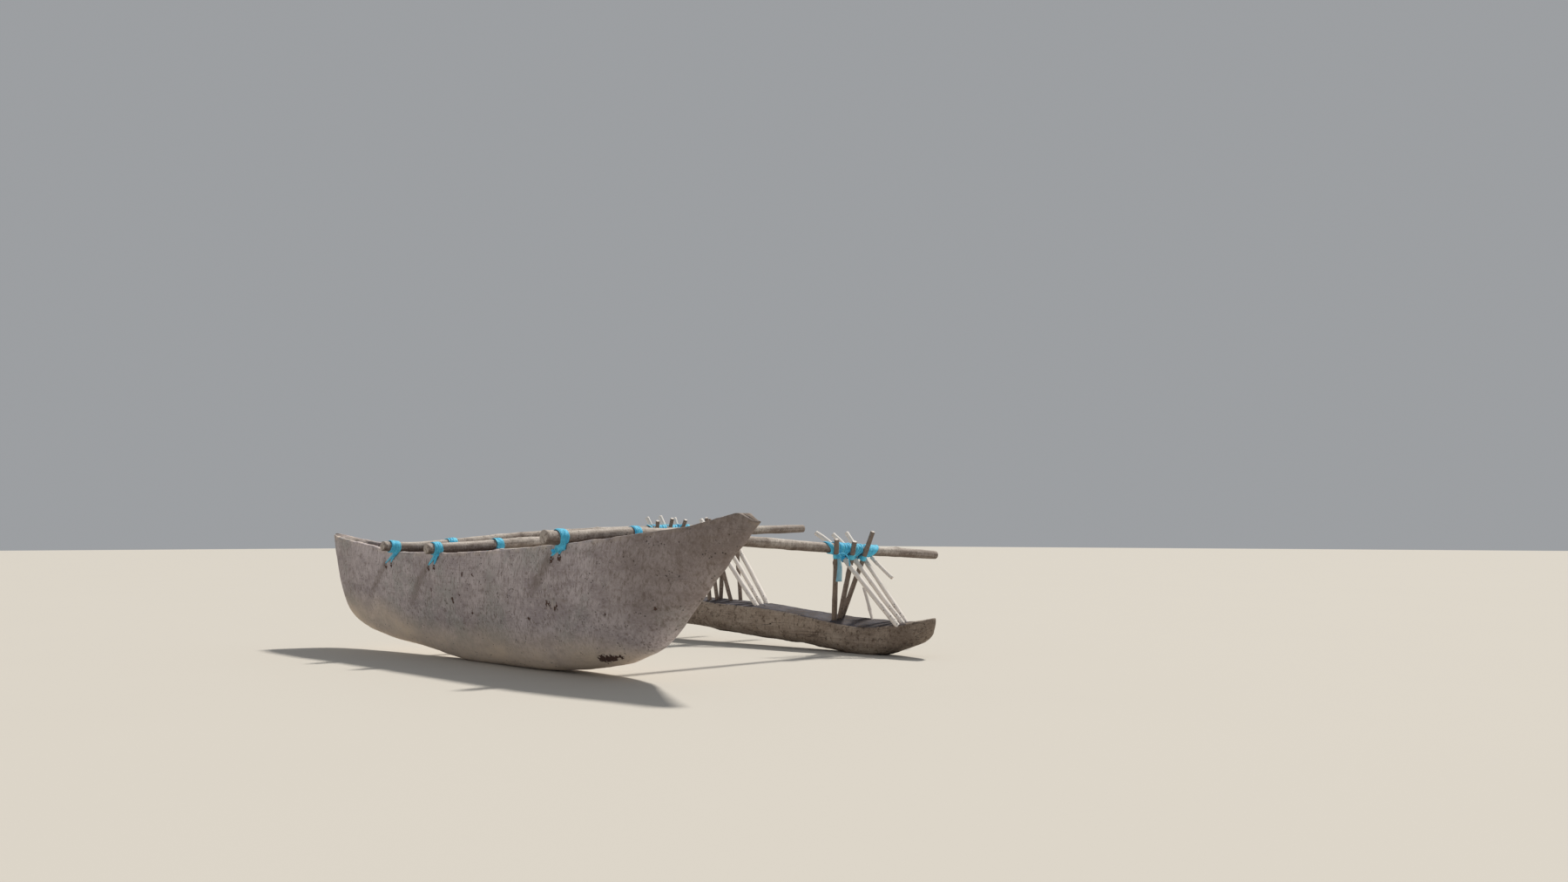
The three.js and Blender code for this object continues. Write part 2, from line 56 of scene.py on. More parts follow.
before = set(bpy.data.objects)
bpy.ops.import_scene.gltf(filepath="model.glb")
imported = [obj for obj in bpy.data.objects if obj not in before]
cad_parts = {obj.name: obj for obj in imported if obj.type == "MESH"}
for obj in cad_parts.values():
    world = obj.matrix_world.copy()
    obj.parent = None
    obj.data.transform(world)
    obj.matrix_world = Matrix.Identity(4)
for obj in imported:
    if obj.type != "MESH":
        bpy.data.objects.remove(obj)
CAD_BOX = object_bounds()

MM = 0.001
BODY = "root"
BOOM_NAMES = ("bow", "mid", "stern")
SIDES = {"starboard": -1, "port": 1}

# Lines of the hull, upright, in mm: [x, value] along its length, bow at +x. From -850 to -300
# KEEL lies up to 17 mm above the solid's keel.
SHEER = [[-1771, 637], [-1700, 630], [-1600, 623], [-1406, 609], [-1190, 592], [-1092, 584],
         [-1027, 574], [-800, 556], [-600, 552], [-360, 553], [-100, 560], [245, 576], [500, 590], [734, 606],
         [938, 621], [1151, 642], [1290, 657], [1430, 671], [1584, 701], [1665, 719], [1705, 724],
         [1739, 711], [1776, 694], [1798, 688]]
KEEL = [[-1771, 629], [-1763, 585], [-1752, 520], [-1728, 455], [-1700, 386], [-1676, 328],
        [-1634, 254], [-1582, 199], [-1500, 155], [-1425, 131], [-1320, 106], [-1200, 87], [-1091, 72],
        [-850, 52], [-640, 29], [-520, 14], [-430, 5], [-300, -2], [-129, -5], [202, -4], [400, 2], [551, 12],
        [793, 40], [930, 62], [1045, 98], [1149, 137], [1234, 188], [1284, 228], [1327, 271],
        [1400, 336], [1458, 385], [1514, 438], [1578, 488], [1618, 531], [1653, 562], [1703, 597],
        [1747, 638], [1798, 682]]
PORT_RISE = [[-1771, 8], [-1709, 4], [-1659, -3], [-1599, -10], [-1536, -13], [-1470, -17],
             [-1422, -21], [-1250, -16], [-1000, -2], [-800, 3], [-500, 0]]
HALF_BEAM = [[-1771, 7], [-1740, 20], [-1690, 38], [-1600, 64], [-1406, 97], [-1190, 124],
             [-1027, 138], [-800, 152], [-600, 161], [-360, 171], [-100, 181], [245, 191], [500, 195],
             [734, 195], [938, 184], [1033, 174], [1151, 157], [1291, 131], [1430, 102], [1584, 65],
             [1680, 42], [1723, 31], [1763, 20], [1798, 7]]
FULLNESS = [[-1771, 1.8], [-1600, 1.95], [-1200, 1.95], [-900, 1.84], [-600, 1.86], [-300, 2.0],
            [0, 2.2], [300, 2.5], [700, 2.45], [950, 2.2], [1250, 1.85], [1500, 1.7], [1798, 1.7]]
HOLLOW = [[-1500, 0], [-1470, 55], [-1400, 120], [-1250, 265], [-1100, 368], [-850, 450],
          [-500, 502], [300, 525], [700, 512], [950, 470], [1100, 405], [1230, 300], [1330, 175],
          [1390, 70], [1415, 0]]
WALL, KEEL_WOOD, TUMBLEHOME = 27, 44, 0.06
HEEL, HEEL_HEIGHT = math.radians(3), 600
# Lash holes in mm: along the hull from the pole, and below the gunwale.
HOLES = {"bow": [(-86, 60), (-28, 50)], "mid": [(-92, 67), (-36, 62)], "stern": [(-126, 66), (-64, 60)]}
HOLE_RADIUS = 9
HOLE_REACH = 14        # how far the cutter stands out of the wall
HOLE_AROUND = 12
CROSSING_ROW = 4       # row of a pole's centre line that lies over the hull

# Lines of the float log in mm.
FLOAT_Y = 1735
FLOAT_TOP = [[-1282, 335], [-1200, 310], [-1080, 291], [-900, 276], [-411, 257], [53, 240],
             [265, 222], [511, 203], [669, 194], [925, 186], [1054, 182], [1120, 184], [1200, 191],
             [1294, 206]]
# How far the inner edge of its top lies below the outer one.
FLOAT_SLOPE = [[-1282, 0], [-900, 6], [-411, 11], [53, 14], [265, 10], [453, 15], [610, 26],
               [751, 38], [860, 37], [933, 33], [1054, 18], [1120, 12], [1200, 6], [1294, 2]]
FLOAT_BOTTOM = [[-1282, 300], [-1262, 240], [-1200, 185], [-1080, 142], [-900, 118], [-411, 87],
                [31, 60], [378, 38], [611, 20], [760, 2], [861, -4], [930, 3], [993, 14], [1122, 44],
                [1220, 78], [1275, 120], [1294, 180]]
FLOAT_HALF = [[-1282, 18], [-1250, 40], [-1150, 64], [-950, 78], [-400, 86], [300, 90], [860, 86],
              [1020, 76], [1150, 60], [1250, 38], [1294, 15]]

# Where the lines' own origin lies in the frame.
SHIFT = Vector((
    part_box("hull")[0].x - SHEER[0][0] * MM,
    (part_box("float_log")[0].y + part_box("float_log")[1].y) / 2 - FLOAT_Y * MM,
    0,
))


def along(rows, x):
    """Smooth curve through [x, value] rows."""
    last = len(rows) - 1
    if x <= rows[0][0]:
        return rows[0][1]
    if x >= rows[last][0]:
        return rows[last][1]
    i = max(k for k in range(last) if rows[k][0] < x)

    def step(k):
        return (rows[k + 1][1] - rows[k][1]) / (rows[k + 1][0] - rows[k][0])

    def slope(k):
        if k in (0, last):
            return step(min(k, last - 1))
        a, b = step(k - 1), step(k)
        return 0 if a * b <= 0 else 2 * a * b / (a + b)

    h = rows[i + 1][0] - rows[i][0]
    t = (x - rows[i][0]) / h
    return ((2 * t**3 - 3 * t**2 + 1) * rows[i][1] + (t**3 - 2 * t**2 + t) * h * slope(i)
            + (3 * t**2 - 2 * t**3) * rows[i + 1][1] + (t**3 - t**2) * h * slope(i + 1))


def smooth_step(low, high, value):
    t = np.clip((np.asarray(value, float) - low) / (high - low), 0, 1)
    return t * t * (3 - 2 * t)


def resampled(points, count):
    """The same polyline through count points, evenly spaced."""
    points = np.asarray(points, float)
    run = np.concatenate([[0], np.cumsum(np.linalg.norm(np.diff(points, axis=0), axis=1))])
    at = np.linspace(0, run[-1], count)
    return np.stack([np.interp(at, run, points[:, k]) for k in range(points.shape[1])], axis=1)


def rounded_path(points, step, closed=False):
    """Catmull-Rom curve through points, sampled about every step metres."""
    p = np.asarray(points, float)
    n = len(p)
    get = (lambda i: p[i % n]) if closed else (lambda i: p[min(max(i, 0), n - 1)])
    fine = []
    for i in range(n if closed else n - 1):
        a, b, c, d = get(i - 1), get(i), get(i + 1), get(i + 2)
        for t in np.linspace(0, 1, 9)[:-1]:
            fine.append(0.5 * (2 * b + (c - a) * t + (2 * a - 5 * b + 4 * c - d) * t**2
                               + (3 * b - a - 3 * c + d) * t**3))
    fine.append(p[0] if closed else p[-1])
    fine = np.array(fine)
    length = np.linalg.norm(np.diff(fine[:, :3], axis=0), axis=1).sum()
    return resampled(fine, max(4, int(length / step) + 1))


def rough(points, scale, octaves=2, seed=0.0):
    """Fractal noise at each point, from about -1 to 1. scale is per metre, one number or three."""
    q = np.asarray(points, float) * np.asarray(scale, float) + seed * 17.31
    return np.array([noise.fractal(Vector(v), 1.0, 2.0, octaves) for v in q])


def cells(points, scale, seed=0.0):
    """Distance to the nearest of scattered points, in cells."""
    q = np.asarray(points, float) * np.asarray(scale, float) + seed * 11.7
    return np.array([noise.voronoi(Vector(v))[0][0] for v in q])


def unit(v):
    v = np.asarray(v, float)
    return v / np.maximum(np.linalg.norm(v, axis=-1, keepdims=True), 1e-12)


# Reading the frame: where its round pieces lie.

def node_points(node):
    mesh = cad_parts[node].data
    co = np.zeros(len(mesh.vertices) * 3)
    mesh.vertices.foreach_get("co", co)
    edges = np.zeros(len(mesh.edges) * 2, int)
    mesh.edges.foreach_get("vertices", edges)
    return co.reshape(-1, 3), edges.reshape(-1, 2)


def slices(node, axis, places):
    """Centre and half width of a node where planes square to an axis cut it."""
    co, edges = node_points(node)
    a, b = co[edges[:, 0]], co[edges[:, 1]]
    others = [k for k in range(3) if k != axis]
    rows = []
    for place in places:
        da, db = a[:, axis] - place, b[:, axis] - place
        cut = da * db < 0
        t = (da[cut] / (da[cut] - db[cut]))[:, None]
        points = a[cut] + (b[cut] - a[cut]) * t
        low, high = points.min(0), points.max(0)
        centre = (low + high) / 2
        centre[axis] = place
        rows.append((*centre, (high - low)[others].mean() / 2))
    return np.array(rows)


class Pole:
    """Centre line of a cross pole, read from the frame."""

    def __init__(self, name):
        self.name, self.node = name, f"boom_{name}"
        low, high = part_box(self.node)
        self.ends = (low.y, high.y)
        self.rows = slices(self.node, 1, np.linspace(low.y + 0.006, high.y - 0.006, 30))

    def at(self, y):
        centre = [np.interp(y, self.rows[:, 1], self.rows[:, k]) for k in (0, 3, 2)]
        return np.array([centre[0], y, centre[2]]), centre[1]


class Stick:
    """Centre line of a stick, read from the frame, and where it passes its pole."""

    def __init__(self, node, pole=None):
        self.node, self.pole = node, pole
        points = node_points(node)[0]
        way = np.linalg.svd(points - points.mean(0), full_matrices=False)[2][0]
        way = way * np.sign(way[2])
        reach = points @ way
        order = np.argsort(reach)
        breaks = np.flatnonzero(np.diff(reach[order]) > 0.012) + 1
        rings = [points[g] for g in np.split(order, breaks)]
        self.line = np.array([(r.min(0) + r.max(0)) / 2 for r in rings])
        self.radius = float(np.median(np.linalg.norm(rings[0] - rings[0].mean(0), axis=1)))
        self.way = unit(self.line[1] - self.line[0])
        if pole:
            fine = resampled(self.line, 400)[100:]
            gaps = [np.linalg.norm(p - pole.at(p[1])[0]) for p in fine]
            self.touch = fine[int(np.argmin(gaps))]
            self.front = bool(self.touch[0] > pole.at(self.touch[1])[0][0])


POLES = {name: Pole(name) for name in BOOM_NAMES}
STICKS = [Stick(node, next((p for k, p in POLES.items() if node.startswith(f"stick_{k}_")), None))
          for node in sorted(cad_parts) if "stick_" in node]


# Making meshes.

def new_object(name, verts, faces, material, **attributes):
    """A smooth mesh object with per-point attributes, a list of numbers or of vectors each."""
    mesh = bpy.data.meshes.new(name)
    mesh.from_pydata([tuple(v) for v in verts], [], faces)
    mesh.shade_smooth()
    for key, values in attributes.items():
        values = np.asarray(values, np.float32)
        flat = values.ndim == 1
        attribute = mesh.attributes.new(key, "FLOAT" if flat else "FLOAT_VECTOR", "POINT")
        attribute.data.foreach_set("value" if flat else "vector", values.ravel())
    mesh.materials.append(material)
    item = bpy.data.objects.new(name, mesh)
    bpy.context.scene.collection.objects.link(item)
    return item


def belongs(item, slot, *nodes):
    """Fixes a finished piece to the canoe in place of its plain solids."""
    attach(item, BODY)
    if nodes:
        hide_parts(*nodes)
    return item


def skin_faces(rings, around):
    """Faces of a closed tube of rings, with a fan to one more point at each end."""
    faces = []
    for r in range(rings - 1):
        for k in range(around):
            a, b = r * around + k, r * around + (k + 1) % around
            faces.append((a, b, b + around, a + around))
    first, last = rings * around, rings * around + 1
    for k in range(around):
        n = (k + 1) % around
        faces.append((first, n, k))
        faces.append((last, (rings - 1) * around + k, (rings - 1) * around + n))
    return faces


def skin(name, rows, material, **attributes):
    """A closed body through rings of points. Attributes are given for the ring points."""
    rows = np.asarray(rows, float)
    n, m = rows.shape[:2]
    verts = np.concatenate([rows.reshape(-1, 3), rows[:1].mean(1), rows[-1:].mean(1)])
    spread = {}
    for key, values in attributes.items():
        values = np.asarray(values, float).reshape(n * m, -1)
        ends = [values[:m].mean(0)[None], values[-m:].mean(0)[None]]
        values = np.concatenate([values, *ends])
        spread[key] = values[:, 0] if values.shape[1] == 1 else values
    return new_object(name, verts, skin_faces(n, m), material, **spread)


def grid_normals(rows):
    """Outward normals of rings of points that run clockwise seen along their way."""
    ahead = np.gradient(rows, axis=0)
    round_ = np.roll(rows, -1, axis=1) - np.roll(rows, 1, axis=1)
    return unit(np.cross(round_, ahead))


def cross_frames(path):
    """Unit way, side and up vectors along a path, turning as little as they can."""
    way = unit(np.gradient(path, axis=0))
    side = np.cross(way[0], (0, 0, 1) if abs(way[0][2]) < 0.9 else (1, 0, 0))
    sides = []
    for w in way:
        side = unit(side - w * (side @ w))
        sides.append(side)
    sides = np.array(sides)
    return way, sides, np.cross(sides, way)


# Shader nodes written as expressions.

class Value:
    """A number that varies over a surface. Arithmetic on it adds Math nodes."""

    def __init__(self, finish, socket):
        self.finish, self.socket = finish, socket

    def maths(self, operation, first, second):
        inputs = {0: first, 1: second}
        return self.finish.node("ShaderNodeMath", {"operation": operation}, inputs)["Value"]

    def __add__(self, other):
        return self.maths("ADD", self, other)

    def __radd__(self, other):
        return self.maths("ADD", other, self)

    def __sub__(self, other):
        return self.maths("SUBTRACT", self, other)

    def __mul__(self, other):
        return self.maths("MULTIPLY", self, other)

    def __rmul__(self, other):
        return self.maths("MULTIPLY", other, self)

    def __abs__(self):
        return self.maths("ABSOLUTE", self, 0.0)

    def capped(self, most=1.0):
        return self.maths("MINIMUM", self, most)

    def step(self, low, high, start=0.0, end=1.0):
        """Smooth step of this number from low to high."""
        settings = {"interpolation_type": "SMOOTHSTEP"}
        inputs = {"Value": self, "From Min": low, "From Max": high, "To Min": start, "To Max": end}
        return self.finish.node("ShaderNodeMapRange", settings, inputs)["Result"]


class Made:
    """A shader node, whose outputs are read by name."""

    def __init__(self, finish, node):
        self.finish, self.node_ = finish, node

    def __getitem__(self, output):
        return Value(self.finish, self.node_.outputs[output])


class Finish:
    """A material under construction."""

    def __init__(self, name, roughness=0.9, specular=0.25):
        self.material = bpy.data.materials.new(name)
        self.material.use_nodes = True
        self.tree = self.material.node_tree
        self.shader = self.tree.nodes["Principled BSDF"]
        self.shader.inputs["Roughness"].default_value = roughness
        self.shader.inputs["Specular IOR Level"].default_value = specular

    def put(self, socket, value):
        if isinstance(value, Value):
            self.tree.links.new(value.socket, socket)
        elif isinstance(value, (tuple, list)) and len(value) == 3 and socket.type == "RGBA":
            socket.default_value = (*value, 1)
        else:
            socket.default_value = value

    def node(self, kind, settings=None, inputs=None):
        node = self.tree.nodes.new(kind)
        for key, value in (settings or {}).items():
            setattr(node, key, value)
        for key, value in (inputs or {}).items():
            self.put(node.inputs[key], value)
        return Made(self, node)

    def read(self, name, vector=False):
        made = self.node("ShaderNodeAttribute", {"attribute_name": name})
        return made["Vector" if vector else "Fac"]

    def scaled(self, vector, scale, shift=(0.0, 0.0, 0.0)):
        settings = {"operation": "MULTIPLY_ADD"}
        return self.node("ShaderNodeVectorMath", settings, {0: vector, 1: scale, 2: shift})["Vector"]

    def noise(self, vector, scale, detail=3.0, roughness=0.55, distortion=0.0):
        inputs = {"Vector": vector, "Scale": scale, "Detail": detail, "Roughness": roughness,
                  "Distortion": distortion}
        return self.node("ShaderNodeTexNoise", {}, inputs)["Fac"]

    def cells(self, vector, scale):
        inputs = {"Vector": vector, "Scale": scale}
        return self.node("ShaderNodeTexVoronoi", {"feature": "F1"}, inputs)["Distance"]

    def mix(self, share, first, second, blend="MIX"):
        settings = {"data_type": "RGBA", "blend_type": blend}
        made = self.node("ShaderNodeMix", settings, {"Factor": share})
        sockets = [s for s in made.node_.inputs if s.type == "RGBA"]
        self.put(sockets[0], first)
        self.put(sockets[1], second)
        return Value(self, next(s for s in made.node_.outputs if s.type == "RGBA"))

    def finish(self, colour, height=None, roughness=None):
        self.put(self.shader.inputs["Base Color"], colour)
        if roughness is not None:
            self.put(self.shader.inputs["Roughness"], roughness)
        if height is not None:
            bump = self.node("ShaderNodeBump", {}, {"Strength": 1.0, "Distance": 1.0, "Height": height})
            self.put(self.shader.inputs["Normal"], bump["Normal"])
        return self.material


def cracks(finish, grain, across, lengthwise, width, patch, seed=0.0):
    """Fine drying cracks that run with the grain, in patches."""
    spread = finish.scaled(grain, (lengthwise, across, across), (seed, seed, seed))
    bed = finish.noise(spread, 1.0, 2.0, 0.5, 0.25)
    line = abs(bed - 0.5).step(0.0, width, 1.0, 0.0)
    where = finish.noise(finish.scaled(grain, (1.3, 9.0, 9.0), (seed + 3.1, 0.0, 7.7)), 1.0, 2.0, 0.5)
    return line * where.step(patch, patch + 0.09)


# Torn wood at gouges; the same colour is painted as shade round the lash holes.
TORN_WOOD_AND_HOLE_SHADE = (0.100, 0.058, 0.047)
CRACK_SHADE = (0.024, 0.018, 0.014)


def wood(name, tones, depth=1.0, crack=0.6, mottle=1.0, fibres=0.4, specks=0.5, edge=None,
         moss=None, strokes=1.0, roughness=0.88):
    """Bare weathered wood. tones are its pale, middle and dark colour. The point attributes
    grain (metres, x with the grain), worn places and painted light, stains and painted shade, and gouges and
    painted hole shade steer it."""
    finish = Finish(name, roughness)
    pale, middle, dark = tones
    grain = finish.read("grain", vector=True)
    wear, stain, gouge = finish.read("wear"), finish.read("stain"), finish.read("gouge")
    fibre = finish.noise(finish.scaled(grain, (5.0, 150.0, 150.0)), 1.0, 5.0, 0.65)
    thread = finish.noise(finish.scaled(grain, (22.0, 620.0, 620.0)), 1.0, 3.0, 0.6)
    cloud = finish.noise(grain, 2.6, 4.0, 0.6)
    patch = finish.noise(finish.scaled(grain, (8.0, 13.0, 13.0)), 1.0, 5.0, 0.66)
    blotch = finish.noise(grain, 42.0, 4.0, 0.65)
    fleck = finish.noise(finish.scaled(grain, (75.0, 110.0, 110.0)), 1.0, 3.0, 0.6)
    fine = cracks(finish, grain, 44.0, 1.4, 0.012, 0.56)
    wide = cracks(finish, grain, 17.0, 0.8, 0.006, 0.58, 5.0)
    split = (fine * 0.7 + wide).capped() * crack
    pits = finish.cells(grain, 58.0).step(0.10, 0.26, 1.0, 0.0)
    pits = pits * finish.noise(grain, 19.0, 1.0).step(0.54, 0.6)
    shade = (cloud - 0.5) * (1.7 * mottle) + (patch - 0.5) * (2.2 * mottle) + 0.42
    colour = finish.mix(shade, middle, pale)
    if moss:
        damp = finish.noise(finish.scaled(grain, (1.0, 1.0, 1.0), (4.0, 9.0, 2.0)), 3.4, 4.0, 0.6)
        colour = finish.mix(damp.step(0.47, 0.66, 0.0, 0.75), colour, moss)
    colour = finish.mix(fibre.step(0.34, 0.62, fibres, 0.0) + thread.step(0.3, 0.6, fibres * 0.5, 0.0),
                        colour, dark)
    colour = finish.mix(blotch.step(0.50, 0.66, 0.0, 0.8 * specks), colour, dark)
    colour = finish.mix(fleck.step(0.56, 0.70, 0.0, 0.9 * specks), colour, pale)
    # Adze strokes: turn, scale along and across them, least noise, tone, share.
    for angle, long, thin, start, tone, share in (
            (1.30, 15.0, 120.0, 0.50, dark, 0.75), (1.72, 13.0, 130.0, 0.52, pale, 0.8),
            (0.75, 5.0, 230.0, 0.52, pale, 0.7), (-0.55, 5.0, 230.0, 0.55, pale, 0.6)):
        stroke = finish.noise(turned(finish, grain, (0.2, angle, 0.0), (long, 60.0, thin)), 1.0, 2.0, 0.5)
        stroke = stroke.step(start, start + 0.13, 0.0, share * specks * strokes) * patch.step(0.38, 0.55)
        colour = finish.mix(stroke, colour, tone)
    # Worn edges, dust and sand pale the wood; this mix also paints light on the tops of poles and sticks, and
    # bounce light on the hull's bottom.
    colour = finish.mix((wear * (0.45 + 0.9 * patch)).capped(), colour, edge or pale)
    # Stains and knots darken the wood; this mix also paints shade under the poles and dark sticks, and along
    # the cracks in the float's top.
    colour = finish.mix((stain * (0.7 + 0.6 * blotch)).capped(), colour, dark)
    # Torn wood at gouges, and painted shade round the lash holes.
    torn_and_hole_shade = (gouge + (blotch - 0.5) * 2.6 + (fleck - 0.5) * 1.6).step(0.40, 0.62) * gouge.step(0.06, 0.3)
    colour = finish.mix(torn_and_hole_shade, colour, TORN_WOOD_AND_HOLE_SHADE)
    colour = finish.mix((split * 0.85 + pits * 0.8).capped(), colour, CRACK_SHADE)
    height = (fibre * 0.0009 + thread * 0.0003 + blotch * 0.0014 + patch * 0.002 - split * 0.0030
              - pits * 0.0018 - torn_and_hole_shade * 0.002)
    return finish.finish(colour, height * depth, fibre.step(0.3, 0.7, roughness + 0.06, roughness - 0.1))


def turned(finish, vector, angles, scale):
    """A vector turned by angles, then scaled."""
    made = finish.node("ShaderNodeMapping", {}, {"Vector": vector, "Rotation": angles})
    return finish.scaled(made["Vector"], scale)


def end_grain(name, tones):
    """Sawn end of a pole: growth rings and star cracks. Its grain attribute has x outward."""
    finish = Finish(name, 0.92)
    pale, middle, dark = tones
    grain = finish.read("grain", vector=True)
    wobble = finish.noise(grain, 60.0, 3.0)
    rings = finish.node("ShaderNodeTexWave", {"wave_type": "RINGS", "rings_direction": "X"},
                        {"Vector": grain, "Scale": 70.0, "Distortion": 2.0, "Detail": 2.0})["Fac"]
    colour = finish.mix(rings * 0.5 + wobble * 0.4, middle, pale)
    colour = finish.mix(wobble.step(0.5, 0.7, 0.0, 0.7), colour, dark)
    return finish.finish(colour, rings * 0.0006 + wobble * 0.002)


def cloth(name, fresh, faded, shade):
    """Torn strips of woven cloth. grain is metres along and across a strip; its pleats' hollows and each
    strip's back get painted shade.
    """
    finish = Finish(name, 0.55, 0.5)
    sheen = finish.shader.inputs
    sheen["Sheen Weight"].default_value = 0.7
    sheen["Sheen Roughness"].default_value = 0.7
    sheen["Sheen Tint"].default_value = (0.3, 0.85, 1.0, 1)
    grain = finish.read("grain", vector=True)
    fold, tint = finish.read("fold"), finish.read("tint")
    weft, warp = (
        finish.node("ShaderNodeTexWave", {"bands_direction": axis}, {"Vector": grain, "Scale": scale})["Fac"]
        for axis, scale in (("X", 210.0), ("Y", 260.0))
    )
    dirt = finish.noise(finish.scaled(grain, (26.0, 80.0, 80.0)), 1.0, 4.0, 0.6)
    crease = finish.noise(finish.scaled(grain, (60.0, 420.0, 420.0)), 1.0, 3.0, 0.6)
    colour = finish.mix(tint, fresh, faded)
    colour = finish.mix(dirt.step(0.52, 0.78, 0.0, 0.3), colour, shade)
    # Painted shade in the pleats' hollows and on each strip's back.
    colour = finish.mix(fold.step(0.45, 0.95, 0.0, 0.75), colour, shade)
    colour = finish.mix((weft * warp).step(0.2, 0.9, 0.0, 0.18), colour, faded)
    height = weft * 0.00018 + warp * 0.00014 + crease * 0.0016
    return finish.finish(colour, height)


# Settings that a user would change.

def colour_property(name, description, default):
    return bpy.props.FloatVectorProperty(name=name, description=description, subtype="COLOR", size=3,
                                         min=0.0, max=1.0, default=default)


def length_property(name, description, default):
    return bpy.props.FloatProperty(name=name, description=description, unit="LENGTH", subtype="DISTANCE",
                                   min=0.0, default=default)


class WoodSettings(bpy.types.PropertyGroup):
    """Colours of the bare wood."""

    hull_pale: colour_property("Hull pale", "Dry, dusty parts of the hull", (0.63, 0.56, 0.57))
    hull_middle: colour_property("Hull middle", "Most of the hull", (0.40, 0.345, 0.355))
    hull_dark: colour_property("Hull dark", "Stained and damp parts of the hull", (0.166, 0.128, 0.105))
    hull_moss: colour_property("Hull grey-green", "Old damp patches on the hull", (0.375, 0.375, 0.355))
    # hull_edge is also the paler bottom of the hull: sand dust, and painted bounce light from the floor.
    hull_edge: colour_property("Hull edge", "Worn edges and sandy bottom of the hull", (0.84, 0.70, 0.56))
    pole_pale: colour_property("Pole pale", "Bleached side of the poles", (0.66, 0.60, 0.54))
    pole_middle: colour_property("Pole middle", "Most of a pole", (0.345, 0.285, 0.25))
    # pole_dark is also the colour of the painted shade under the poles and dark sticks.
    pole_dark: colour_property("Pole dark", "Bark left on the poles", (0.10, 0.070, 0.052))
    stick_pale: colour_property("Stick pale", "Bleached sticks", (0.93, 0.88, 0.83))
    stick_middle: colour_property("Stick middle", "Most of a bleached stick", (0.85, 0.78, 0.72))
    bark: colour_property("Bark", "Dark sticks", (0.275, 0.215, 0.172))
    float_pale: colour_property("Float pale", "Dusty sides of the float", (0.43, 0.36, 0.295))
    float_middle: colour_property("Float middle", "Sides of the float", (0.275, 0.220, 0.178))
    float_top: colour_property("Float top", "Weathered top of the float", (0.042, 0.043, 0.054))


class ClothSettings(bpy.types.PropertyGroup):
    """The strips of cloth that bind the canoe."""

    fresh: colour_property("Fresh", "Colour of the strips where the sun hasn't reached", (0.020, 0.53, 1.0))
    faded: colour_property("Faded", "Colour of the strips in the sun", (0.14, 0.75, 1.0))
    shade: colour_property("Shade", "Colour inside folds", (0.004, 0.16, 0.40))
    worn: colour_property("Worn", "Colour of the loose end", (0.15, 0.42, 0.60))
    bleached: colour_property("Bleached", "Edges of the loose end", (0.52, 0.76, 0.82))
    width: length_property("Width", "Width of a strip as it lies", 0.015)
    thick: length_property("Thickness", "Thickness of a strip", 0.0016)


class ShapeSettings(bpy.types.PropertyGroup):
    """How rough the hewn wood is."""

    adze: length_property("Adze marks", "Depth of the shallow marks that hewing left", 0.0016)
    uneven: length_property("Unevenness", "How far the hull wanders from a fair line", 0.003)
    edge: length_property("Edge radius", "Rounding of the gunwale", 0.008)
    knots: length_property("Knots", "How far knots stand out of a pole", 0.005)


class StudioSettings(bpy.types.PropertyGroup):
    """Floor, light and camera."""

    floor: colour_property("Floor", "Colour of the floor", (0.585, 0.555, 0.505))
    sky: bpy.props.FloatProperty(name="Sky", description="Strength of the even light", default=0.36, min=0)
    lamp: bpy.props.FloatProperty(name="Lamp", description="Strength of the high lamp", default=3.5, min=0)
    lens: length_property("Focal length", "Focal length on a 36 mm wide film", 0.031)


def settings(name):
    return getattr(bpy.context.scene, f"canoe_{name}")


def tones(*names):
    return [tuple(getattr(settings("wood"), n)) for n in names]


# The hull.

def side_point(half, fullness, turn):
    out, drop = math.sin(turn) ** (2 / fullness), math.cos(turn) ** (2 / fullness)
    tuck = 1 - TUMBLEHOME * max(0, (1 - drop - 0.5) / 0.5) ** 2
    return half * out * tuck / (1 - TUMBLEHOME), drop


def side_at(x, z, inside):
    """Half breadth of the upright hull at a height, in mm."""
    sheer, fullness = along(SHEER, x), along(FULLNESS, x)
    half = along(HALF_BEAM, x) - (WALL if inside else 0)
    depth = along(HOLLOW, x) if inside else sheer - along(KEEL, x)
    drop = min(1.0, max(0.0, (sheer - z) / depth))
    return side_point(half, fullness, math.acos(min(1.0, drop ** (fullness / 2))))[0]


def leaned(points):
    """Turns upright points in mm into the hull's lean, in the frame's metres."""
    p = np.asarray(points, float)
    dz = p[:, 2] - HEEL_HEIGHT
    y = p[:, 1] * math.cos(HEEL) - dz * math.sin(HEEL)
    z = HEEL_HEIGHT + p[:, 1] * math.sin(HEEL) + dz * math.cos(HEEL)
    return np.stack([p[:, 0], y, z], axis=1) * MM + np.array(SHIFT)


def hull_face(x, z, side, inside, clear=0.0):
    """Point beside the hull's wall, given in mm upright."""
    y = side_at(x, z, inside) + (-clear if inside else clear)
    return leaned([(x, side * y, z)])[0]


# Points of a section: round the outside, through the hollow, on a rounded corner, on a gunwale.
OUTER_POINTS, INNER_POINTS, CORNER_POINTS = 132, 80, 5
RIM_POINTS = 2 * CORNER_POINTS + 3
HULL_STATIONS, FLOAT_STATIONS = 350, 300


def stations_along(rows, near_count, near_reach, inset, count):
    """Places along a log, in mm, closer together at its two ends."""
    first, last = rows[0][0], rows[-1][0]
    near = near_reach * (1 - np.cos(np.linspace(0, math.pi / 2, near_count)))
    middle = np.linspace(first + inset, last - inset, count)
    return np.concatenate([first + near, middle, (last - near)[::-1]])


def bend(a, corner, b, count):
    """Points of a rounded corner, without its two ends."""
    t = np.linspace(0, 1, count + 2)[1:-1, None]
    return (1 - t) ** 2 * a + 2 * t * (1 - t) * corner + t**2 * b


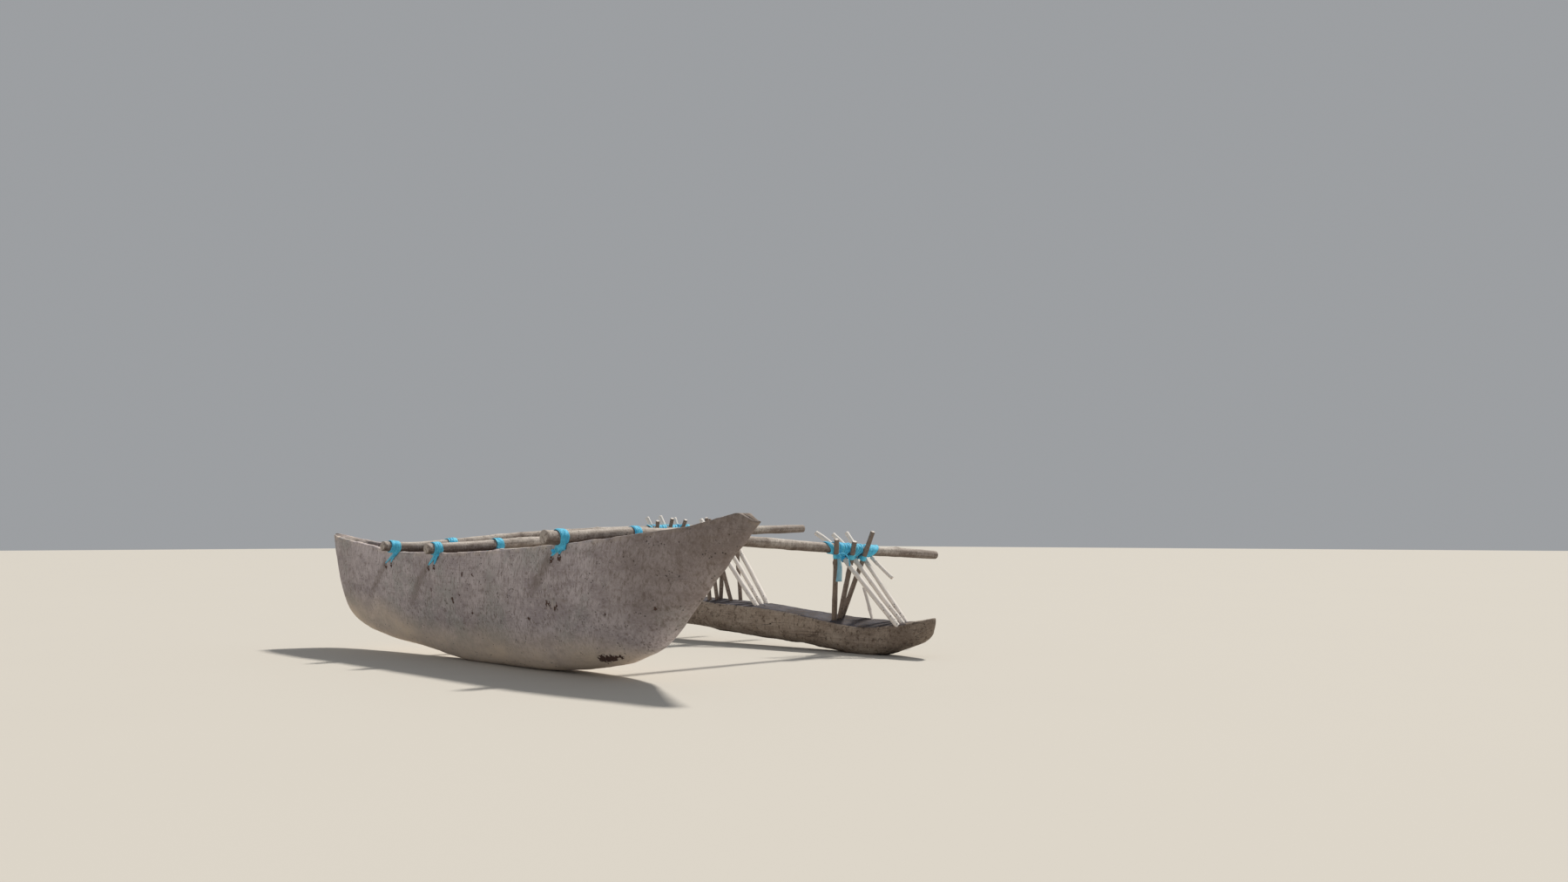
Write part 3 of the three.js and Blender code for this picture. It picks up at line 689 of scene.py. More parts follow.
def hull_ring(x, edge):
    """One upright section of the hull in mm: round the outside, then back through the hollow."""
    sheer, keel, half, fullness = (along(rows, x) for rows in (SHEER, KEEL, HALF_BEAM, FULLNESS))
    inner_half = max(half - WALL, half * 0.45)
    hollow = max(0.0, min(along(HOLLOW, x), sheer - keel - KEEL_WOOD))
    edge = min(edge, half * 0.4, (sheer - keel) * 0.3)
    inner_edge = min(edge, hollow * 0.5, (half - inner_half) * 0.45)

    def side(width, depth, start):
        turns = np.linspace(math.pi / 2, 0, 40)
        rows = np.array([side_point(width, fullness, t) for t in turns])
        points = np.stack([rows[:, 0], sheer - rows[:, 1] * depth], axis=1)
        keep = points[:, 1] <= sheer - start + 1e-9
        top = np.interp(sheer - start, points[::-1, 1], points[::-1, 0]) if depth > 0 else width
        return np.concatenate([[[top, sheer - start]], points[keep]])

    outer = side(half, sheer - keel, edge)
    inner = side(inner_half, hollow, inner_edge)
    outer = resampled(np.concatenate([outer * (-1, 1), outer[::-1]]), OUTER_POINTS)
    inner = resampled(np.concatenate([inner, inner[::-1] * (-1, 1)]), INNER_POINTS)
    rim, lip = np.array([half - edge, sheer]), np.array([inner_half + inner_edge, sheer])
    corner = bend(outer[-1], np.array([half, sheer]), rim, CORNER_POINTS)
    inward = bend(lip, np.array([inner_half, sheer]), inner[0], CORNER_POINTS)
    port = np.concatenate([corner, [rim, (rim + lip) / 2, lip], inward])
    ring = np.concatenate([outer, port, inner, port[::-1] * (-1, 1)])
    share = np.clip((ring[:, 1] - keel) / (sheer - keel), 0, None)
    lift = along(PORT_RISE, x) * share**2 * np.clip(ring[:, 0] / (half * 0.5), 0, 1)
    return np.stack([np.full(len(ring), x), ring[:, 0], ring[:, 1] + lift], axis=1)


# Marks on the hull's starboard side, in mm: place, reach along and up, and depth.
DENTS = [
    ((908, 96), (56, 15), 5.0),
    ((613, 330), (22, 14), 2.4),
    ((662, 328), (7, 20), 2.6),
    ((-231, 322), (9, 17), 3.0),
    ((-14, 455), (14, 10), 2.4),
    ((-117, 449), (12, 11), 2.4),
    ((54, 415), (22, 9), 1.8),
    ((1153, 360), (30, 10), 1.6),
    ((-905, 300), (18, 9), 1.8),
    ((330, 190), (26, 8), 1.8),
    ((448, 264), (12, 10), 2.0),
]
# Torn, dark places: place, reach and strength.
GOUGES = [
    ((862, 92), (24, 22), 0.9), ((905, 98), (42, 15), 0.95), ((958, 107), (38, 9), 0.85),
    ((600, 336), (9, 17), 1.0), ((622, 330), (7, 22), 1.0),
    ((661, 322), (6, 26), 1.05), ((679, 330), (5, 20), 1.0),
    ((-231, 322), (10, 20), 1.2), ((-117, 449), (13, 12), 1.1), ((-14, 455), (12, 15), 0.9),
    ((-281, 366), (8, 9), 0.9), ((54, 415), (10, 9), 0.9), ((448, 264), (13, 10), 0.9),
    ((-183, 173), (10, 12), 0.9), ((-443, 370), (8, 10), 0.9), ((1153, 360), (8, 6), 0.7),
    ((980, 300), (8, 6), 0.8), ((300, 150), (12, 6), 0.8), ((1245, 330), (9, 7), 0.8),
    ((-160, 350), (7, 9), 0.9), ((-60, 270), (8, 12), 0.9), ((120, 300), (8, 8), 0.9),
]
SCUFFS = [((611, 334), (5, 24), 0.3), ((645, 335), (6, 26), 0.35), ((670, 326), (4, 20), 0.35),
          ((720, 352), (30, 4), 0.35)]
# Dark streaks below the lash holes: top and bottom of each, half width.
STREAKS = [
    ((655, 552), (430, 325), 36),
    ((-455, 495), (-760, 230), 34),
    ((-935, 495), (-1240, 250), 34),
]


def spot(x, z, side, place, reach):
    """Share of a soft oval mark on the starboard side at points x, z in mm."""
    d = ((x - place[0]) / reach[0]) ** 2 + ((z - place[1]) / reach[1]) ** 2
    return np.exp(-d) * side


def streak(x, z, side, top, bottom, width):
    a, b = np.array(top, float), np.array(bottom, float)
    way = (b - a) / np.linalg.norm(b - a)
    run = (x - a[0]) * way[0] + (z - a[1]) * way[1]
    off = np.abs((x - a[0]) * way[1] - (z - a[1]) * way[0])
    length = np.linalg.norm(b - a)
    reach = smooth_step(-30, 20, run) * smooth_step(length, length * 0.5, run)
    return smooth_step(width, width * 0.35, off) * reach * side


def boom_place(name):
    """Where a pole crosses the hull, in mm along the hull's lines."""
    return POLES[name].rows[CROSSING_ROW, 0] / MM - SHIFT.x / MM


def make_hull():
    shape = settings("shape")
    stations = stations_along(SHEER, 16, 60, 70, HULL_STATIONS)
    upright = np.array([hull_ring(x, shape.edge / MM) for x in stations])
    n, m = upright.shape[:2]
    flat = upright.reshape(-1, 3)
    points = leaned(flat)
    normals = -grid_normals(points.reshape(n, m, 3)).reshape(-1, 3)
    inside = np.tile(np.arange(m) >= OUTER_POINTS + RIM_POINTS, n)
    inside &= np.tile(np.arange(m) < m - RIM_POINTS, n)
    rim = np.tile((np.arange(m) >= OUTER_POINTS - 1) | (np.arange(m) == 0), n) & ~inside
    starboard = (flat[:, 1] < 0) & ~inside
    x, z = flat[:, 0], flat[:, 2]
    push = -shape.uneven * rough(points, 2.2, 2, 1) - shape.uneven * 0.45 * rough(points, 8, 2, 2)
    marks = 1 - cells(points, (11, 26, 26), 3) ** 2
    strength = np.where(inside, 2.4, 1.0)
    push -= shape.adze * strength * marks
    push -= 0.0009 * rough(points, 38, 2, 4)
    push -= np.where(rim, 0.0035 * smooth_step(0.1, 0.7, rough(points, 13, 2, 5)), 0)
    for place, reach, depth in DENTS:
        push -= spot(x, z, starboard, place, reach) * depth * MM
    points = points + normals * np.clip(push, -0.02, 0.0015)[:, None]
    low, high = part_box("hull")
    points[:, 0] = np.clip(points[:, 0], low.x, high.x)
    points[:, 2] = np.clip(points[:, 2], 0.0, high.z)
    sheer = np.array([along(SHEER, s) for s in stations]).repeat(m)
    tip = smooth_step(-1560, -1700, x) + smooth_step(1560, 1720, x)
    wear = smooth_step(26, 0, sheer - z) * (0.35 + 0.65 * tip)
    wear *= smooth_step(-0.5, 0.5, rough(points, 19, 2, 6))
    wear = np.where(inside, wear * 0.6, wear)
    top = 240 + 110 * smooth_step(-600, -1100, x) - 0.35 * np.clip(x - 950, 0, None)
    # The bottom is paled as sand dust, more on the starboard side; this also paints bounce light from the
    # floor onto it.
    sand_and_bounce = smooth_step(top, top - 170, z) * ~inside * np.where(starboard, 1.0, 0.8)
    wear = np.maximum(wear, sand_and_bounce * (0.82 + 0.3 * rough(points, (3, 6, 6), 2, 8)))
    wear = np.maximum(wear, sum(spot(x, z, starboard, p, r) * a for p, r, a in SCUFFS))
    stain = sum(streak(x, z, starboard, *row) for row in STREAKS) * 0.45
    stain += 0.56 * smooth_step(780, 1250, x) * smooth_step(120, 380, z)
    stain += 0.18 * smooth_step(1300, 1550, x) * smooth_step(400, 600, z)
    stain += 0.2 * smooth_step(-1150, -1500, x)
    stain += 0.16 * smooth_step(0.0, 0.7, rough(points, (1.6, 2.6, 2.6), 2, 31))
    stain = np.clip(stain + np.where(inside, 0.35, 0), 0, 1)
    gouge = np.clip(sum(spot(x, z, starboard, p, r) * a for p, r, a in GOUGES), 0, 1)
    # Painted shade round each lash hole, laid on as a dark torn patch.
    for name, places in HOLES.items():
        boom_x = boom_place(name)
        for offset, depth in places:
            place = (boom_x + offset, along(SHEER, boom_x) - depth - 9)
            gouge = np.maximum(gouge, 1.6 * spot(x, z, 1, place, (12, 16)))
    material = wood("hull_wood", tones("hull_pale", "hull_middle", "hull_dark"), 1.0, 0.3, 1.45, 0.14, 0.66,
                    *tones("hull_edge", "hull_moss"))
    item = skin("hull_shell", points.reshape(n, m, 3), material, grain=points, wear=wear,
                stain=stain, gouge=gouge)
    bore_holes(item)
    return belongs(item, "hull_wood", "hull")


def bore_holes(item):
    """Cuts the lash holes through both walls."""
    holes = [(name, side, offset, depth) for name, places in HOLES.items()
             for side in SIDES.values() for offset, depth in places]
    verts, faces, around = [], [], HOLE_AROUND
    for count, (name, side, offset, depth) in enumerate(holes):
        boom_x = boom_place(name)
        x, z = boom_x + offset, along(SHEER, boom_x) - depth
        outer, inner = (hull_face(x, z, side, inside, HOLE_REACH) for inside in (False, True))
        way = unit(inner - outer)
        across, up = unit(np.cross(way, (0, 0, 1))), np.array((0, 0, 1.0))
        base = len(verts)
        for centre in (outer, inner):
            for k in range(around):
                angle = 2 * math.pi * k / around
                radius = HOLE_RADIUS * MM * (1 + 0.12 * math.sin(3 * angle + count))
                verts.append(centre + (across * math.cos(angle) + up * math.sin(angle)) * radius)
        faces += [(base + k, base + (k + 1) % around, base + around + (k + 1) % around, base + around + k)
                  for k in range(around)]
        faces.append(tuple(base + k for k in reversed(range(around))))
        faces.append(tuple(base + around + k for k in range(around)))
    cutter = new_object("cutter", verts, faces, item.data.materials[0])
    cut = item.modifiers.new("holes", "BOOLEAN")
    cut.operation, cut.solver, cut.object = "DIFFERENCE", "EXACT", cutter
    graph = bpy.context.evaluated_depsgraph_get()
    carved = bpy.data.meshes.new_from_object(item.evaluated_get(graph))
    item.modifiers.clear()
    item.data = carved
    bpy.data.objects.remove(cutter)


# Poles and sticks.

# Rings of a cut end: share of the radius, share of the bevel that it stands out.
END_RINGS = [(0.82, 1.0), (0.5, 1.0), (0.18, 0.9)]
POLE_AROUND, STICK_AROUND = 40, 16
POLE_STEP, STICK_STEP = 0.008, 0.009
POLE_KNOTS, STICK_KNOTS = 9, 4


def round_wood(name, path, radii, around, material, end_material, seed, knots=(), knot_height=0.0,
               wander=0.0, painted_shade_below=0.7):
    """A natural pole along a path. knots are (share of length, angle, size in metres)."""
    path, radii = np.asarray(path, float), np.asarray(radii, float)
    run = np.concatenate([[0], np.cumsum(np.linalg.norm(np.diff(path, axis=0), axis=1))])
    way, side, up = cross_frames(path)
    ease = smooth_step(0, 0.06, run) * smooth_step(run[-1], run[-1] - 0.06, run)
    line = np.stack([run, np.full_like(run, seed * 3.7), np.zeros_like(run)], axis=1)
    path = path + side * (rough(line, 3.1, 2, seed) * wander * ease)[:, None]
    path = path + up * (rough(line, 3.7, 2, seed + 40) * wander * ease)[:, None]
    angles = np.linspace(0, 2 * math.pi, around, endpoint=False)
    rows, grain, bark, facing = [], [], [], []
    for i, centre in enumerate(path):
        cosines, sines = np.cos(angles), np.sin(angles)
        local = np.stack([np.full(around, run[i]), cosines * radii[i], sines * radii[i]], axis=1)
        swell = 1 + 0.05 * rough(local, (9, 28, 28), 2, seed) + 0.03 * rough(local, (3, 60, 60), 1, seed + 9)
        extra = np.zeros(around)
        for share, angle, size in knots:
            gap = np.angle(np.exp(1j * (angles - angle))) * radii[i]
            d = ((run[i] - share * run[-1]) / size) ** 2 + (gap / (size * 0.75)) ** 2
            extra += knot_height * (np.exp(-d) - 0.75 * np.exp(-d * 6))
            swell += 0.05 * math.exp(-(((run[i] - share * run[-1]) / (size * 2.5)) ** 2))
        radius = radii[i] * swell + extra
        rows.append(centre + side[i] * (cosines * radius)[:, None] + up[i] * (sines * radius)[:, None])
        grain.append(local)
        bark.append(extra / max(knot_height, 1e-6))
        facing.append(side[i][2] * cosines + up[i][2] * sines)
    rows, grain = np.array(rows), np.array(grain)
    bevel = min(0.1 * radii[0], 0.003)
    for index, sign in ((0, -1), (-1, 1)):
        ring, centre = rows[index], rows[index].mean(0)
        tilt = way[index] * sign
        tight = [(1 - bevel / radii[index], 0.5), *END_RINGS]
        caps = []
        for share, lift in tight:
            lumps = rough(ring, 70, 2, seed + share)[:, None] * 0.0015
            caps.append(centre + (ring - centre) * share + tilt * (bevel * lift + lumps))
        caps = np.array(caps)
        cap_grain = np.array([grain[index] * (1, s, s) for s, _ in tight])
        cap_bark = [np.zeros(around) for _ in tight]
        if index == 0:
            rows, grain = np.concatenate([caps[::-1], rows]), np.concatenate([cap_grain[::-1], grain])
            bark = cap_bark + bark
        else:
            rows, grain = np.concatenate([rows, caps]), np.concatenate([grain, cap_grain])
            bark = bark + cap_bark
    rows = np.clip(rows, tuple(CAD_BOX[0]), tuple(CAD_BOX[1]))
    facing = np.array([facing[0]] * len(tight) + facing + [facing[-1]] * len(tight))
    # Painted shade: undersides are darker by how far they face down. Painted light: tops are paler by how far
    # they face up. Knots darken as bark.
    painted_under_shade = smooth_step(0.0, -0.75, facing) * painted_shade_below
    stain = np.clip(np.clip(np.array(bark) * 0.8, 0, 1) * 0.7 + painted_under_shade, 0, 1)
    wear = smooth_step(0.2, 0.9, facing) * 0.4
    item = skin(name, rows[:, ::-1], material, grain=grain[:, ::-1], wear=wear[:, ::-1], stain=stain[:, ::-1],
                gouge=np.zeros(stain.shape))
    item.data.materials.append(end_material)
    bands, caps = len(rows) - 1, len(tight)
    end = [band < caps - 1 or band > bands - caps for band in range(bands) for _ in range(around)]
    item.data.polygons.foreach_set("material_index", np.array(end + [True] * (2 * around), np.int32))
    return item


def make_poles():
    shape = settings("shape")
    material = wood("pole_wood", tones("pole_pale", "pole_middle", "pole_dark"), 0.8, 1.0, 1.7, 0.5, 0.55)
    ends = end_grain("pole_end", tones("pole_pale", "pole_middle", "pole_dark"))
    for index, pole in enumerate(POLES.values()):
        rng = random.Random(100 + index)
        low, high = pole.ends
        ys = np.linspace(low + 0.004, high - 0.004, 26)
        rows = rounded_path([(*pole.at(y)[0], pole.at(y)[1]) for y in ys], POLE_STEP)
        knots = [(rng.uniform(0.15, 0.9), rng.uniform(0, 2 * math.pi), rng.uniform(0.010, 0.018))
                 for _ in range(POLE_KNOTS)]
        item = round_wood(f"pole_{pole.name}", rows[:, :3], rows[:, 3] * 0.985, POLE_AROUND, material, ends,
                          index + 1, knots, shape.knots, wander=0.003)
        belongs(item, "pole_wood", pole.node)


def make_sticks():
    pale = wood("stick_wood", tones("stick_pale", "stick_middle", "bark"), 0.5, 0.6, 0.8, 0.14, 0.12)
    dark = wood("dark_stick_wood", tones("pole_middle", "bark", "pole_dark"), 0.6, 0.5, 1.0, 0.3, 0.3)
    ends = end_grain("stick_end", tones("stick_pale", "stick_middle", "bark"))
    for index, stick in enumerate(STICKS):
        rng = random.Random(500 + index)
        bleached = "_fore_" in stick.node or stick.pole is None
        path = rounded_path(stick.line, STICK_STEP)
        radii = stick.radius * np.linspace(1.15, 1.05, len(path))
        knots = [(rng.uniform(0.1, 0.9), rng.uniform(0, 6.28), rng.uniform(0.006, 0.009))
                 for _ in range(STICK_KNOTS)]
        # Dark sticks get painted shade on their undersides, and bleached ones get none.
        item = round_wood(f"{stick.node}_wood", path, radii, STICK_AROUND, pale if bleached else dark,
                          ends, index + 11, knots, 0.002, wander=0.0035, painted_shade_below=0.0 if bleached else 0.5)
        belongs(item, "stick_wood" if bleached else "dark_stick_wood", stick.node)


# The float log.

FLOAT_AROUND = 96
TOP_DUST = 2.3         # how much lighter the dusty parts of its top are
# Drying cracks in the float's flat top, in mm: from x, to x, y from its middle, depth.
FLOAT_CRACKS = [(-900, 40, 22, 12), (-420, 420, -18, 14), (180, 820, 30, 12), (420, 1010, -34, 15),
                (600, 1120, 4, 11), (760, 1080, -14, 9), (640, 960, 46, 9), (-200, 260, 52, 8),
                (240, 620, 6, 9), (840, 1130, 24, 8)]


def float_ring(x):
    top, bottom, half = along(FLOAT_TOP, x), along(FLOAT_BOTTOM, x), along(FLOAT_HALF, x)
    slope = along(FLOAT_SLOPE, x)
    belt = bottom + (top - bottom) * 0.55
    points = []
    for angle in np.linspace(0, 2 * math.pi, 361):
        c, s = math.cos(angle), math.sin(angle)
        y = half * math.copysign(abs(c) ** (2 / 5 if s > 0 else 2 / 2.6), c)
        if s > 0:
            z = belt + (top - slope * (half - y) / (2 * half) - belt) * s ** (2 / 10)
        else:
            z = belt - (belt - bottom) * abs(s) ** (2 / 2.2)
        points.append((FLOAT_Y + y, z))
    ring = resampled(points, FLOAT_AROUND + 1)[:-1]
    return np.stack([np.full(len(ring), x), ring[:, 0], ring[:, 1]], axis=1)


def make_float():
    stations = stations_along(FLOAT_TOP, 12, 40, 48, FLOAT_STATIONS)
    rows = np.array([float_ring(x) for x in stations])
    n, m = rows.shape[:2]
    flat = rows.reshape(-1, 3)
    points = flat * MM + np.array(SHIFT)
    normals = -grid_normals(points.reshape(n, m, 3)).reshape(-1, 3)
    x, y = flat[:, 0], flat[:, 1] - FLOAT_Y
    on_top = smooth_step(0.45, 0.8, normals[:, 2])
    push = -0.0035 * rough(points, (5, 9, 9), 2, 21) - 0.0022 * (1 - cells(points, (9, 24, 24), 22) ** 2)
    push -= 0.001 * rough(points, 45, 2, 23)
    wander = rough(np.stack([x * MM, x * 0, x * 0], axis=1), 6, 2, 24) * 9
    dark = np.zeros(len(points))
    for start, stop, middle, depth in FLOAT_CRACKS:
        reach = smooth_step(start, start + 120, x) * smooth_step(stop, stop - 120, x)
        gap = np.abs(y - middle - wander)
        push -= reach * on_top * smooth_step(8, 2, gap) * depth * MM * 0.7
        # Painted shade along each crack in the top.
        dark = np.maximum(dark, reach * on_top * smooth_step(9, 3, gap))
    points = points + normals * np.clip(push, -0.02, 0.001)[:, None]
    low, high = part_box("float_log")
    points = np.clip(points, np.array(low), np.array(high))
    end = smooth_step(1180, 1290, x) + smooth_step(-1180, -1270, x)
    # Painted shade in the top's cracks, and darker towards the bow end.
    shade = np.clip(dark + 0.4 * smooth_step(950, 1200, x), 0, 1)
    sides = wood("float_wood", tones("float_pale", "float_middle", "pole_dark"), 1.2, 1.2, 1.9, 0.3, 1.0,
                 tuple(settings("wood").hull_edge), strokes=0.3)
    top_tones = tones("float_top", "float_top", "pole_dark")
    top_tones[0] = tuple(v * TOP_DUST for v in top_tones[0])
    top = wood("float_top_wood", top_tones, 1.6, 1.6, 2.4, 0.6, 0.5)
    item = skin("float_body", points.reshape(n, m, 3), sides, grain=points, wear=end * 0.1, stain=shade,
                gouge=dark * 0)
    item.data.materials.append(top)
    normal = np.zeros(len(item.data.polygons) * 3)
    item.data.polygons.foreach_get("normal", normal)
    centres = np.array([f.center for f in item.data.polygons])
    centre_x = centres[:, 0] / MM - SHIFT.x / MM + 60 * rough(centres, (4, 24, 0), 3, 27)
    flat = (normal.reshape(-1, 3)[:, 2] > 0.72) & (centre_x < 1150) & (centre_x > -1215)
    item.data.polygons.foreach_set("material_index", flat.astype(np.int32))
    return belongs(item, "float_wood", "float_log")


# Strips of cloth.

class Strips:
    """Ribbons of cloth gathered into one mesh."""

    across = 8

    def __init__(self, name, seed):
        self.name, self.rng, self.seed = name, random.Random(seed), seed
        self.verts, self.faces, self.grain, self.fold, self.tint = [], [], [], [], []

    def ribbon(self, path, outs, widths, thick, pleat=0.0022, closed=False):
        """Lays one strip along path with its flat side to outs."""
        path, count = np.asarray(path, float), len(path)
        way = np.roll(path, -1, 0) - np.roll(path, 1, 0) if closed else np.gradient(path, axis=0)
        way = unit(way)
        outs = np.asarray(outs, float)
        outs = unit(outs - way * (outs * way).sum(1, keepdims=True))
        sides = np.cross(way, outs)
        widths = np.broadcast_to(np.asarray(widths, float), (count,))
        run = np.concatenate([[0], np.cumsum(np.linalg.norm(np.diff(path, axis=0), axis=1))])
        seed, tint, m = self.rng.uniform(0, 90), self.rng.uniform(0.1, 1.0), self.across
        u = np.linspace(-1, 1, m)
        base = len(self.verts)
        for i in range(count):
            wide = widths[i] * (0.92 + 0.16 * noise.noise(Vector((run[i] * 30, seed, 0))))
            shift = noise.noise(Vector((run[i] * 22, seed, 5))) * 1.4
            lift = np.array([noise.noise(Vector((run[i] * 34, a * 2.6 + shift, seed))) for a in u])
            wave = np.cos(u * 5.2 + shift * 3 + seed)
            lift = pleat * (lift * 0.9 + wave * 0.45) - 0.001 * u**4
            middle = path[i] + np.outer(u * wide / 2, sides[i]) + np.outer(lift, outs[i])
            half = np.outer(np.full(m, thick / 2) * (1 - 0.55 * u**4), outs[i])
            self.verts += list(middle + half) + list((middle - half)[::-1])
            self.grain += [(run[i], a * widths[i] / 2, seed * 0.01) for a in (*u, *u[::-1])]
            # Painted shade: deeper in a pleat's hollow, and more on the strip's back.
            deep = np.clip(0.5 - lift / (2.4 * pleat + 1e-9), 0, 1)
            self.fold += list(deep) + list(np.clip(deep[::-1] + 0.3, 0, 1))
            self.tint += [tint] * (2 * m)
        ring = 2 * m
        for i in range(count if closed else count - 1):
            a, b = base + i * ring, base + ((i + 1) % count) * ring
            self.faces += [(a + k, a + (k + 1) % ring, b + (k + 1) % ring, b + k) for k in range(ring)]
        if not closed:
            self.faces.append(tuple(base + k for k in reversed(range(ring))))
            self.faces.append(tuple(base + (count - 1) * ring + k for k in range(ring)))

    def made(self, material=None):
        return new_object(self.name, self.verts, self.faces, material or strip_material(), grain=self.grain,
                          fold=self.fold, tint=self.tint)


def strip_material(name="strip_cloth", fresh="fresh", faded="faded"):
    known = bpy.data.materials.get(name)
    if known:
        return known
    c = settings("cloth")
    return cloth(name, tuple(getattr(c, fresh)), tuple(getattr(c, faded)), tuple(c.shade))


def around_pole(pole, y, angle, lift):
    """Point and outward direction on a pole's surface."""
    centre, radius = pole.at(y)
    out = np.array([math.cos(angle), 0.0, math.sin(angle)])
    return centre + out * (radius + lift), out


def laid(strips, rows, widths, closed=False, pleat=0.0022):
    """Lays a ribbon through rows of (point, outward direction), with a width at each row."""
    c = settings("cloth")
    table = np.array([(*p, *o, w) for (p, o), w in zip(rows, np.broadcast_to(widths, (len(rows),)))])
    path = rounded_path(table, 0.005, closed)
    if closed:
        path = path[:-1]
    strips.ribbon(path[:, :3], path[:, 3:6], path[:, 6], c.thick, pleat, closed)


def knot(strips, centre, out, size, width, ends):
    """A tight knot of strips with its loose ends. ends are (direction, length)."""
    out = unit(out)
    side = unit(np.cross(out, (0, 0, 1)))
    up = np.cross(side, out)
    phase = strips.rng.uniform(0, 6)
    rows = []
    for t in np.linspace(0, 2 * math.pi, 30, endpoint=False):
        offset = (side * 0.95 * math.sin(2 * t + phase) + up * 0.7 * math.sin(3 * t)
                  + out * (0.45 * math.cos(5 * t) + 0.35))
        rows.append((centre + offset * size, unit(offset + out * 0.4)))
    laid(strips, rows, width, closed=True, pleat=0.003)
    for way, length in ends:
        way = unit(way)
        rows = []
        for t in np.linspace(0, 1, 6):
            drop = np.array((0, 0, -1.0)) * length * 0.35 * t**2
            point = centre + out * size * (0.6 - 0.5 * t) + way * length * t + drop
            rows.append((point, unit(out + side * 0.5 * math.sin(4 * t + phase))))
        laid(strips, rows, width * np.linspace(0.8, 1.25, 6))


# How far outboard of the hull's face the band round each pole lies.
BAND_PLACES = {"bow": 0.018, "mid": 0.010, "stern": 0.024}
BAND_SPACING = {"bow": 0.0065, "mid": 0.0078, "stern": 0.0078}
BAND_TURNS = 9


def gunwale_lashing(name, side_name):
    side, pole, c = SIDES[side_name], POLES[name], settings("cloth")
    node = f"gunwale_lashing_{name}_{side_name}"
    strips = Strips(f"{node}_cloth", hash_of(node))
    rng = strips.rng
    low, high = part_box(node)
    edge_y = high.y if side > 0 else low.y
    boom_x = float(pole.at(edge_y)[0][0] - SHIFT.x) / MM
    sheer = along(SHEER, boom_x)
    face = hull_face(boom_x, sheer - 12, side, False)[1]
    y_out = hull_face(boom_x, sheer - 12, side, False, 5)[1]
    y_in = hull_face(boom_x, sheer - 12, side, True, 5)[1]
    radius = pole.at(y_out)[1] / MM
    for h, (offset, depth) in enumerate(HOLES[name]):
        for j in range(2):
            lift = 0.0022 + 0.0016 * j + 0.001 * h
            hole_x, hole_z = boom_x + offset + rng.uniform(-2, 2), sheer - depth + 6
            flank = boom_x + radius * (0.75 - 0.4 * j - 0.25 * (1 - h))
            rows, widths = [], []
            for t, clear, w in ((0.0, 1.5, 0.5), (0.3, 5 + 2 * j, 0.8), (0.62, 8 + 2 * j, 0.95),
                                (0.9, 12 + 2 * j, 1.05)):
                x, z = hole_x + (flank - hole_x) * t, hole_z + (sheer - 4 - hole_z) * t
                rows.append((hull_face(x, z, side, False, clear), (0.3, side, 0.1)))
                widths.append(w)
            for t in np.linspace(0, 1, 9):
                y = y_out + (y_in - y_out) * smooth_step(0.45, 1.0, t) + ((j - 0.5) * 0.012) * side
                rows.append(around_pole(pole, float(y), -0.75 + (math.pi + 1.5) * t, lift))
                widths.append(1.0)
            flank = boom_x - radius * 0.62
            for t, w in ((0.7, 1.0), (0.35, 0.8), (0.0, 0.4)):
                x, z = hole_x + (flank - hole_x) * t, hole_z + (sheer - 6 - hole_z) * t
                rows.append((hull_face(x, z, side, True, 3.5 + 2 * j), (0, -side, 0.1)))
                widths.append(w)
            middle = (hull_face(hole_x, hole_z, side, False) + hull_face(hole_x, hole_z, side, True)) / 2
            rows.append((middle, (0, 0, 1)))
            widths.append(0.34)
            laid(strips, rows, np.array(widths) * c.width * rng.uniform(0.9, 1.1), closed=True)
    for turn in range(BAND_TURNS):
        spread = (turn % 5 - 2) * BAND_SPACING[name]
        y = face + side * BAND_PLACES[name] + spread + rng.uniform(-0.0015, 0.0015)
        binding(strips, pole, y, 0.003 + 0.0022 * (turn // 5), c.width * rng.uniform(0.85, 1.1),
                rng.uniform(-0.14, 0.14))
    big = name == "bow"
    left, right = (-52, 25) if big else (-30, 18)
    for turn in range(4 if big else 2):
        drop = 3 + 5.5 * turn
        far_left = boom_x + left * (1 - 0.16 * turn)
        rows = [(hull_face(far_left, sheer - drop - 14, side, False, 8), (-0.4, side, 0)),
                (hull_face(boom_x - 8, sheer - drop - 5, side, False, 17), (0, side, 0.1)),
                (hull_face(boom_x + right - 2 * turn, sheer - drop, side, False, 13), (0.6, side, 0)),
                (hull_face(boom_x + right - 6, sheer - drop - 3, side, False, 3), (0.3, -side, 0)),
                (hull_face(boom_x + left * 0.6, sheer - drop - 14, side, False, 3), (-0.3, -side, 0))]
        laid(strips, rows, c.width * rng.uniform(0.75, 0.95), closed=True, pleat=0.003)
    if big:
        place = hull_face(boom_x - 60, sheer - 33, side, False, 8)
        knot(strips, place, (0.15, side, 0), 0.010, 0.009, [])
        knot(strips, hull_face(boom_x - 34, sheer - 26, side, False, 9), (0.15, side, 0), 0.009, 0.009, [])
    return belongs(strips.made(), "cloth_strip", node)


def hash_of(text):
    """A small number that is always the same for a name."""
    return sum((k + 1) * ord(c) for k, c in enumerate(text)) % 9973


def hull_of_circles(circles, count=36):
    """Outline round circles (x, z, radius), with outward directions."""
    rows = []
    for angle in np.linspace(0, 2 * math.pi, count, endpoint=False):
        u = np.array([math.cos(angle), math.sin(angle)])
        x, z, r = max(circles, key=lambda c: c[0] * u[0] + c[1] * u[1] + c[2])
        rows.append((x + u[0] * r, z + u[1] * r, u[0], u[1]))
    return rows


